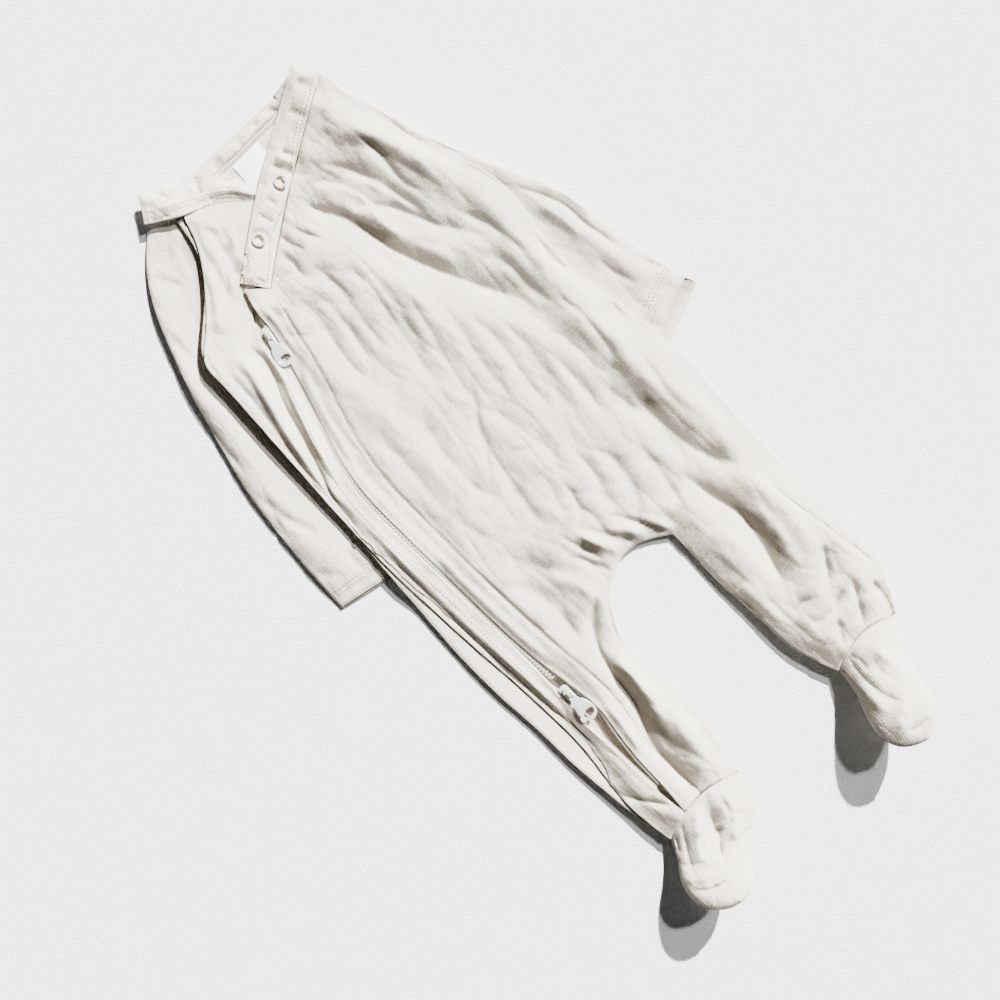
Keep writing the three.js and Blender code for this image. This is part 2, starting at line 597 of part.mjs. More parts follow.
/** Half of a foot: the upper where turn is 1, and the sole where it is -1. */
function footGeometry({ sections, folds }, turn) {
  const start = through(sections.map((row) => new THREE.Vector3(row.x0, row.y0, row.z0)));
  const end = through(sections.map((row) => new THREE.Vector3(row.x1, row.y1, row.z1)));
  const depths = through(sections.map((row) => new THREE.Vector3(row.crown, row.belly, 0)));
  const middle = (v) => start.getPoint(v).lerp(end.getPoint(v), 0.5);
  const near = DIRECTION_SHARE;
  const spot = (u, v, wall) => {
    const atAnkle = 1 - ease(v / ANKLE_SHARE);
    const [left, right] = [start.getPoint(v), end.getPoint(v)];
    const chord = right.clone().sub(left);
    const half = chord.length() / 2;
    chord.normalize();
    const axis = middle(Math.min(v + near, 1)).sub(middle(Math.max(v - near, 0)));
    axis.lerp(new THREE.Vector3(0, -axis.length(), 0), atAnkle).normalize();
    const up = chord.clone().cross(axis).normalize().multiplyScalar(-1);
    const depth = turn > 0 ? depths.getPoint(v).x : depths.getPoint(v).y;
    const angle = Math.PI * (1 - u);
    const width = Math.max(half - wall, half * 0.4);
    const rise = Math.max(depth - wall, depth * 0.3);
    const point = left.lerp(right, 0.5).addScaledVector(chord, Math.cos(angle) * width);
    point.addScaledVector(up, turn * (Math.sin(angle) * rise + GAP / 2));
    point.addScaledVector(axis, -wall * (1 - Math.min(half / TIP_HALF, 1)));
    const bulge = turn > 0 ? INSTEP_RISE : HEEL_DROP;
    point.y += atAnkle * bulge * Math.sin(angle) ** 2 - ANKLE_GAP;
    if (turn > 0) point.z += creases(folds, point.x, point.y) * Math.sin(angle) * ease(v / FOLD_SHARE);
    point.z = Math.max(point.z, wall);
    return point;
  };
  const patch = { face: (u, v) => spot(u, v, 0), inside: (u, v) => spot(u, v, WALL) };
  return cloth([{ ...patch, across: 10, along: 11 }]);
}

/** A band of even or tapered width beside a seam. */
function bandGeometry(points, widths, under, thick, along) {
  const seam = through(points);
  const breadth = through(widths.map((width) => new THREE.Vector3(width, 0, 0)));
  const far = (v) => {
    const way = seam.getTangent(v);
    const across = new THREE.Vector3(-way.y, way.x, 0);
    return seam.getPoint(v).addScaledVector(across, breadth.getPoint(v).x);
  };
  return cloth([panelPatch((v) => seam.getPoint(v), far, under, thick, 3, along)]);
}

/** The neckband at the back of the neck, which shows its inside. */
function backBandGeometry() {
  const low = BACK_CHEST[0].y + GAP;
  const rows = [
    { x: -37, y: 285, width: 18 },
    { x: -24, y: low + 1, width: 18.5 },
    { x: 0, y: low, width: 13.5 },
    { x: 25, y: low, width: 12.3 },
    { x: 50, y: low, width: 11.6 },
    { x: 72, y: low, width: 11.3 },
    { x: 90, y: low + 1.6, width: 12 },
  ];
  return bandGeometry(edge(rows, "x", "y"), rows.map((row) => row.width), backUnder, BAND, 14);
}

/** The neckband of the right front, which ends under the other. */
function underlapGeometry() {
  const { seamX, seamY, lapX, lapY, bow } = RIGHT_CHEST[0];
  const from = new THREE.Vector3(seamX, seamY, 0);
  const to = new THREE.Vector3(lapX, lapY, 0);
  const off = new THREE.Vector3(0.2, 0.35, 0);
  const seam = [0, 0.25, 0.5, 0.75, 1].map((share) => bowed(from, to, share, bow).add(off));
  const shoulder = [new THREE.Vector3(-41.5, 287.2, 0), new THREE.Vector3(-31, 280.5, 0)];
  const points = [...shoulder, ...seam, new THREE.Vector3(22, 243, 0)];
  const widths = [18, 18, 18, 18, 17, 14, 9, 7];
  return bandGeometry(points, widths, (x, y) => backUnder(x, y) + BAND + LAYER_GAP, BAND, 14);
}

/** The neckband of the left front, with the snaps, from its end at the zip to the shoulder. */
function overlapGeometry() {
  const row = LEFT_CHEST[0];
  const names = ["hem", "legR", "legL", "left"];
  const seam = names.map((name) => leftChestPoint(row, name).addScaledVector(BAND_WAY, BAND_OFF));
  return bandGeometry(seam, names.map(() => NECKBAND_WIDTH), overlapUnder, BAND, 18);
}

/** One side of the zip, under the edge of the cloth. */
function tapeGeometry(side) {
  const name = side > 0 ? "zipL" : "zipR";
  const under = (x, y) => frontUnder(x, y) - LAYER_GAP - TAPE;
  const flap = edge(LEFT_CHEST.slice(1), "flapX", "flapY");
  const lap = edge(RIGHT_CHEST.slice(4), "lapX", "lapY");
  const rows = [...(side > 0 ? flap : lap), ...column(name).slice(0, -1)];
  const moved = (x) => through(rows.map((point) => point.clone().add(new THREE.Vector3(side * x, 0, 0))));
  const [inner, outer] = [moved(-TAPE_SHOWS), moved(TAPE_WIDTH)];
  const [start, end] = [(v) => inner.getPoint(v), (v) => outer.getPoint(v)];
  return cloth([panelPatch(start, end, under, TAPE, 1, rows.length * 2 - 2)]);
}

/** The bare label on the inside of the back. */
function labelGeometry() {
  const { left, right, low, high } = LABEL_PLACE;
  const from = (v) => new THREE.Vector3(left, lerp(low, high, v), 0);
  const to = (v) => new THREE.Vector3(right, lerp(low, high, v), 0);
  return cloth([panelPatch(from, to, (x, y) => backUnder(x, y) + WALL + GAP, LABEL, 3, 3)]);
}

/** A three.js geometry as a solid that can be joined and cut. */
function solid(geometry) {
  geometry.deleteAttribute("normal");
  geometry.deleteAttribute("uv");
  const merged = mergeVertices(geometry, 0.001);
  const vertProperties = new Float32Array(merged.getAttribute("position").array);
  const triVerts = new Uint32Array(trianglesOf(merged).flat());
  return new wasm.Manifold(new wasm.Mesh({ numProp: 3, vertProperties, triVerts }));
}

/** A solid as a three.js geometry. */
function geometryOf(manifold) {
  const mesh = manifold.getMesh();
  const geometry = new THREE.BufferGeometry();
  geometry.setAttribute("position", new THREE.BufferAttribute(mesh.vertProperties, 3));
  geometry.setIndex(new THREE.BufferAttribute(mesh.triVerts, 1));
  geometry.computeVertexNormals();
  return geometry;
}

/** A flat piece cut to a shape and lying between two heights. */
function plate(shape, low, high, curveSegments = 8) {
  const settings = { depth: high - low, bevelEnabled: false, curveSegments };
  return solid(new THREE.ExtrudeGeometry(shape, settings).translate(0, 0, low));
}

/** The outline of a slider's plates, wide at the head and narrow at the tail. */
function sliderOutline(inset) {
  const [head, tail] = [SLIDER.width / 2 - inset, SLIDER.tail / 2 - inset];
  const [front, rear] = [SLIDER.length / 2 - inset, -SLIDER.length / 2 + inset];
  const shape = new THREE.Shape();
  shape.moveTo(-tail, rear);
  shape.quadraticCurveTo(0, rear - 0.6, tail, rear);
  shape.lineTo(head, front - 3);
  shape.quadraticCurveTo(head, front, 0, front);
  shape.quadraticCurveTo(-head, front, -head, front - 3);
  return shape;
}

/** A slider: two plates on a post with the tapes between them, and the arch for its pull. */
function sliderGeometry() {
  const { post, top, bottom, archWidth, archLength, archHeight, archBar } = SLIDER;
  const slot = TAPE + LAYER_GAP + GAP;
  const upper = plate(sliderOutline(0), 0, top);
  const lower = plate(sliderOutline(0.4), -slot - bottom, -slot);
  const web = solid(new THREE.BoxGeometry(post, 4, slot + 0.4).translate(0, 2.6, -slot / 2));
  const arch = new THREE.Shape();
  arch.moveTo(-archLength / 2, -0.2);
  arch.lineTo(-archLength / 2, archHeight - 1.2);
  arch.quadraticCurveTo(-archLength / 2, archHeight, 1.2 - archLength / 2, archHeight);
  arch.lineTo(archLength / 2 - 1.2, archHeight);
  arch.quadraticCurveTo(archLength / 2, archHeight, archLength / 2, archHeight - 1.2);
  arch.lineTo(archLength / 2, -0.2);
  const eye = new THREE.Path();
  const [eyeHalf, eyeTop] = [archLength / 2 - archBar, archHeight - archBar];
  eye.moveTo(-eyeHalf, 0);
  eye.lineTo(eyeHalf, 0);
  eye.lineTo(eyeHalf, eyeTop);
  eye.lineTo(-eyeHalf, eyeTop);
  arch.holes.push(eye);
  const bow = new THREE.ExtrudeGeometry(arch, { depth: archWidth, bevelEnabled: false, curveSegments: 4 });
  bow.translate(0, 0, -archWidth / 2).rotateX(Math.PI / 2).rotateZ(Math.PI / 2).translate(0, 0, top);
  return geometryOf(upper.add(lower).add(web).add(solid(bow)));
}

/** A pull tab whose bar lies on the origin and whose ring points down the suit. */
function pullGeometry() {
  const { thick, armHalf, slotHalf, slotEnd, neckHalf, neckAt, ringAt, ringX, ringY, holeX, holeY } = PULL;
  const shape = new THREE.Shape();
  shape.moveTo(-armHalf, thick / 2);
  shape.lineTo(armHalf, thick / 2);
  shape.lineTo(neckHalf, -neckAt);
  shape.quadraticCurveTo(ringX, -neckAt - 3, ringX, -ringAt);
  shape.absellipse(0, -ringAt, ringX, ringY, 0, Math.PI, true);
  shape.quadraticCurveTo(-ringX, -neckAt - 3, -neckHalf, -neckAt);
  const slot = new THREE.Path();
  slot.moveTo(-slotHalf, -thick / 2);
  slot.lineTo(-slotHalf, -slotEnd);
  slot.lineTo(slotHalf, -slotEnd);
  slot.lineTo(slotHalf, -thick / 2);
  const hole = new THREE.Path();
  hole.absellipse(0, -ringAt - 0.4, holeX, holeY, 0, Math.PI * 2, false);
  shape.holes.push(slot, hole);
  return geometryOf(plate(shape, -thick / 2, thick / 2, 10));
}

/** The ring of a snap, standing on its flat face. */
function snapGeometry() {
  const { inner, outer, height, round, facets } = SNAP;
  const profile = [
    [inner, 0], [outer, 0], [outer, height - round], [outer - round, height],
    [inner + round, height], [inner, height - round], [inner, 0],
  ].map(([x, y]) => new THREE.Vector2(x, y));
  const geometry = new THREE.LatheGeometry(profile, facets);
  geometry.rotateX(Math.PI / 2);
  return geometryOf(solid(geometry));
}

/** The highest point of a surface under a round piece. */
function highestUnder(surface, x, y, radius) {
  const heights = Array.from({ length: SNAP.facets }, (_, i) => {
    const turn = (i / SNAP.facets) * Math.PI * 2;
    return surface(x + Math.cos(turn) * radius, y + Math.sin(turn) * radius);
  });
  return Math.max(surface(x, y), ...heights);
}

/** A mesh with its node's name. */
function named(name, geometry, material) {
  const mesh = new THREE.Mesh(geometry, material);
  mesh.name = name;
  return mesh;
}

const suit = new THREE.Group();
suit.position.set(-MIDDLE.x, -MIDDLE.y, 0);
suit.add(
  named("back", backGeometry(), CLOTH),
  named("front_left", leftFrontGeometry(), CLOTH),
  named("front_right", rightFrontGeometry(), CLOTH),
  named("sleeve_left", sleeveGeometry(SLEEVES.left), CLOTH),
  named("sleeve_right", sleeveGeometry(SLEEVES.right), CLOTH),
  named("foot_left_upper", footGeometry(FEET.left, 1), CLOTH),
  named("foot_left_sole", footGeometry(FEET.left, -1), CLOTH),
  named("foot_right_upper", footGeometry(FEET.right, 1), CLOTH),
  named("foot_right_sole", footGeometry(FEET.right, -1), CLOTH),
  named("neckband_back", backBandGeometry(), RIB),
  named("neckband_underlap", underlapGeometry(), RIB),
  named("neckband_overlap", overlapGeometry(), RIB),
  named("label", labelGeometry(), PAPER),
  named("zip_tape_left", tapeGeometry(1), WEBBING),
  named("zip_tape_right", tapeGeometry(-1), WEBBING),
);

for (const [name, { x, y, turn }] of Object.entries(SLIDERS)) {
  const slider = new THREE.Group();
  slider.position.set(x, y, frontUnder(x, y));
  slider.rotation.z = degToRad(turn);
  const pull = named(`pull_${name}`, pullGeometry(), METAL);
  pull.position.z = SLIDER.top + PULL.pivot;
  slider.add(named(`slider_${name}`, sliderGeometry(), METAL), pull);
  suit.add(slider);
}

for (const [name, { x, y }] of Object.entries(SNAPS)) {
  const snap = named(`snap_${name}`, snapGeometry(), METAL);
  snap.position.set(x, y, highestUnder(overlapUnder, x, y, SNAP.outer) + BAND + GAP);
  suit.add(snap);
}

const group = new THREE.Group();
group.add(suit);

export default group;
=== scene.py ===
"""The looks of a footed baby sleepsuit that lies flat on a table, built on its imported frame.

Places are in millimetres from a point on the chest: X runs to the wearer's left, Y to the neck
and Z up from the table. spot() turns them into the frame's metres, whose origin is under the
middle of the suit. Every cloth piece starts from its solid, is refined to a fine shell, and gets
its creases from a table of its own.
"""

import logging
import math
from dataclasses import dataclass, field
from enum import Enum

import bmesh
import bpy
import numpy as np
from mathutils import Matrix, Vector, noise
from mathutils.bvhtree import BVHTree
from mathutils.kdtree import KDTree


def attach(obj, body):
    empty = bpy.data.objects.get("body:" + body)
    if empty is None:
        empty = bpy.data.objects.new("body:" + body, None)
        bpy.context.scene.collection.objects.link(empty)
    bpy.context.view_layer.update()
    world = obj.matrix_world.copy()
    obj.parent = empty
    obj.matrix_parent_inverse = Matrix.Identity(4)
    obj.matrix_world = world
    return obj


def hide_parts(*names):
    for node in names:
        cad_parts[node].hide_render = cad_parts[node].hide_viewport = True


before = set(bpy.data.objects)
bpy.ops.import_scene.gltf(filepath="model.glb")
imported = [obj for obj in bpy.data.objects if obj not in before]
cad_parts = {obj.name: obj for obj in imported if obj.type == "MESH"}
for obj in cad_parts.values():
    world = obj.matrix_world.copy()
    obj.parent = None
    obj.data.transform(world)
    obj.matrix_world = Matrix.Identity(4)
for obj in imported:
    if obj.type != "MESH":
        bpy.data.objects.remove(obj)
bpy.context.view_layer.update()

LOG = logging.getLogger("sleepsuit")
MM = 0.001
MIDDLE = (25.83, 15.65)
ANKLE_SEAM = -192.0
# The level direction that the key light comes from; slopes that face away from it get painted shade
KEY_LIGHT_WAY = (0.95, 0.31)
# Fixes the offsets that noise_vector() works with, so that each run gives the same folds
NOISE_SEED = 11
# Corners of a solid that lie closer than this, in metres, are one
SAME_CORNER = 2e-6
# Edges sharper than these are a solid's rim, and a refined piece's cut edge
RIM_ANGLE = math.radians(52)
CUT_ANGLE = math.radians(48)
# Triangles are paired to quads up to this angle, so never round a rim
PAIR_ANGLE = math.radians(50)
# A rim point's height is worked out this many millimetres inside the rim
INSIDE_RIM = 0.7
# Level share of a direction from which a rim point counts as facing sideways
SIDEWAYS = 0.15
# Millimetres of crease depth, and the slope away from the key light, at which the shade painted into the
# cloth is at its darkest
DARKEST_DEPTH = 3.4
DARKEST_SLOPE = 0.45
# Height in metres from which rays look down, over everything
ABOVE = 0.2
DOWN = Vector((0, 0, -1))
UP = Vector((0, 0, 1))
Path = tuple[tuple[float, float], ...]


def spot(x: float, y: float, z: float = 0.0) -> Vector:
    """Turns a place in chest millimetres into the frame's metres.

    Args:
        x: millimetres to the wearer's left of the chest point.
        y: millimetres towards the neck from it.
        z: millimetres above the table.

    Returns:
        The place in the frame.
    """
    return Vector(((x - MIDDLE[0]) * MM, (y - MIDDLE[1]) * MM, z * MM))


def ease(t: np.ndarray) -> np.ndarray:
    """Goes smoothly from 0 to 1 as t does."""
    t = np.clip(t, 0.0, 1.0)
    return t * t * (3.0 - 2.0 * t)


def smooth_line(path: Path, steps: int = 6) -> np.ndarray:
    """Draws a smooth line through a path's points.

    Args:
        path: the points, in chest millimetres.
        steps: short stretches between one point and the next.

    Returns:
        The line's points, one row each.
    """
    given = np.array(path, float)
    ends = np.vstack([2 * given[0] - given[1], given, 2 * given[-1] - given[-2]])
    line = []
    for i in range(len(given) - 1):
        a, b, c, d = ends[i : i + 4]
        for t in np.linspace(0.0, 1.0, steps, endpoint=False):
            square = (2 * a - 5 * b + 4 * c - d) * t**2
            cube = (3 * b - a - 3 * c + d) * t**3
            line.append(0.5 * (2 * b + (c - a) * t + square + cube))
    line.append(given[-1])
    return np.array(line)


def beside(points: np.ndarray, line: np.ndarray) -> tuple[np.ndarray, np.ndarray]:
    """Measures points against a line.

    Args:
        points: places in chest millimetres, one row each.
        line: the line's points.

    Returns:
        The signed distance to the line, left of it above nothing, and the share along it.
    """
    nearest = np.full(len(points), 1e9)
    side = np.zeros(len(points))
    share = np.zeros(len(points))
    lengths = np.hypot(*np.diff(line, axis=0).T)
    total, gone = lengths.sum(), 0.0
    for start, end, length in zip(line[:-1], line[1:], lengths):
        way = (end - start) / length
        off = points - start
        along = np.clip(off @ way, 0.0, length)
        away = off - along[:, None] * way
        distance = np.hypot(away[:, 0], away[:, 1])
        closer = distance < nearest
        nearest[closer] = distance[closer]
        side[closer] = np.sign(way[0] * off[closer, 1] - way[1] * off[closer, 0])
        share[closer] = (gone + along[closer]) / total
        gone += length
    return nearest * np.where(side == 0, 1, side), share


@dataclass(frozen=True)
class Fold:
    """A crease or ridge laid into cloth.

    Attributes:
        path: the points it runs through.
        width: how far to each side it reaches, in millimetres.
        height: how far it lifts the cloth, in millimetres, or presses it in below nothing.
        pinch: the share of it that is a sharp line along its middle.
        lean: from -1 to 1, the side on which it is steep.
        fade: the share of its length over which each end dies away.
    """

    path: Path
    width: float
    height: float
    pinch: float = 0.0
    lean: float = 0.0
    fade: float = 0.3

    def lift(self, points: np.ndarray) -> np.ndarray:
        """Gives the height that the fold adds.

        Args:
            points: places in chest millimetres, one row each.

        Returns:
            Millimetres added at each place.
        """
        line = smooth_line(self.path)
        reach = 3.2 * self.width
        near = np.all((points > line.min(0) - reach) & (points < line.max(0) + reach), axis=1)
        lifted = np.zeros(len(points))
        if not near.any():
            return lifted
        distance, share = beside(points[near], line)
        wide = self.width * (1 + 0.6 * self.lean * np.sign(distance))
        across = distance / wide
        soft = np.exp(-(np.abs(across) ** (2.0 if self.height > 0 else 1.35)))
        sharp = np.exp(-(np.sqrt((across / 0.3) ** 2 + 0.05) - 0.22))
        ends = ease(np.minimum(share, 1 - share) / self.fade)
        phase, small_phase = self.path[0]
        uneven = 1 + 0.18 * np.sin(9.0 * share + phase) + 0.1 * np.sin(23.0 * share + small_phase)
        lifted[near] = self.height * ends * uneven * ((1 - self.pinch) * soft + self.pinch * sharp)
        return lifted


def lift_of(folds: tuple[Fold, ...], points: np.ndarray) -> np.ndarray:
    """Adds up what a table of folds lifts at each place, in millimetres."""
    total = np.zeros(len(points))
    for fold in folds:
        total += fold.lift(points)
    return total


def crumple(x: float, y: float) -> float:
    """Gives the small unevenness of washed cotton: soft hills between thin, bent creases.

    Args:
        x: the place, in chest millimetres.
        y: the place, in chest millimetres.

    Returns:
        From about -1 to 1.
    """
    bend = noise.noise_vector(Vector((x / 30, y / 45, 4.0)))
    cell = Vector((x / 19 + 0.55 * bend.x, y / 42 + 0.45 * bend.y, 0.5))
    near, far = noise.voronoi(cell)[0][:2]
    fine = noise.voronoi(Vector((x / 9.5 + 0.7 * bend.y, y / 17 + 0.6 * bend.x, 3.5)))[0]
    hills = noise.noise(Vector((x / 13, y / 34, 0.3))) + 0.4 * noise.noise(Vector((x / 6, y / 11, 7.1)))
    creases = 0.8 * math.exp(-(far - near) / 0.13)
    fine_creases = 0.45 * math.exp(-(fine[1] - fine[0]) / 0.12)
    return hills - creases - fine_creases


# Long soft rolls of the body and legs. The right front has them twice, to hold the left one up.
LONG_ROLLS = (
    Fold(((128, 120), (131, 90), (131, 60), (133, 30)), 4, 2.0, 0, -0.3, 0.2),
    Fold(((112, 96), (110, 60), (112, 20), (116, -20), (122, -60)), 9, 2.6, 0, -0.4, 0.3),
    Fold(((60, 130), (72, 100), (80, 60), (84, 20)), 12, 2.4, 0, -0.3, 0.3),
    Fold(((30, 190), (38, 160), (46, 130), (52, 90), (56, 40)), 13, 2.4, 0, -0.3, 0.3),
    Fold(((-20, 150), (-22, 110), (-22, 60), (-18, 10)), 12, 1.8, 0, -0.3, 0.3),
    Fold(((108, -70), (112, -100), (112, -130), (104, -155)), 8, 3.4, 0, -0.4, 0.25),
    Fold(((66, -92), (66, -120), (64, -150), (68, -180)), 6, 2.2, 0, -0.2, 0.25),
    Fold(((-24, -96), (-24, -130), (-24, -165), (-32, -200)), 6, 3.0, 0, -0.3, 0.25),
)

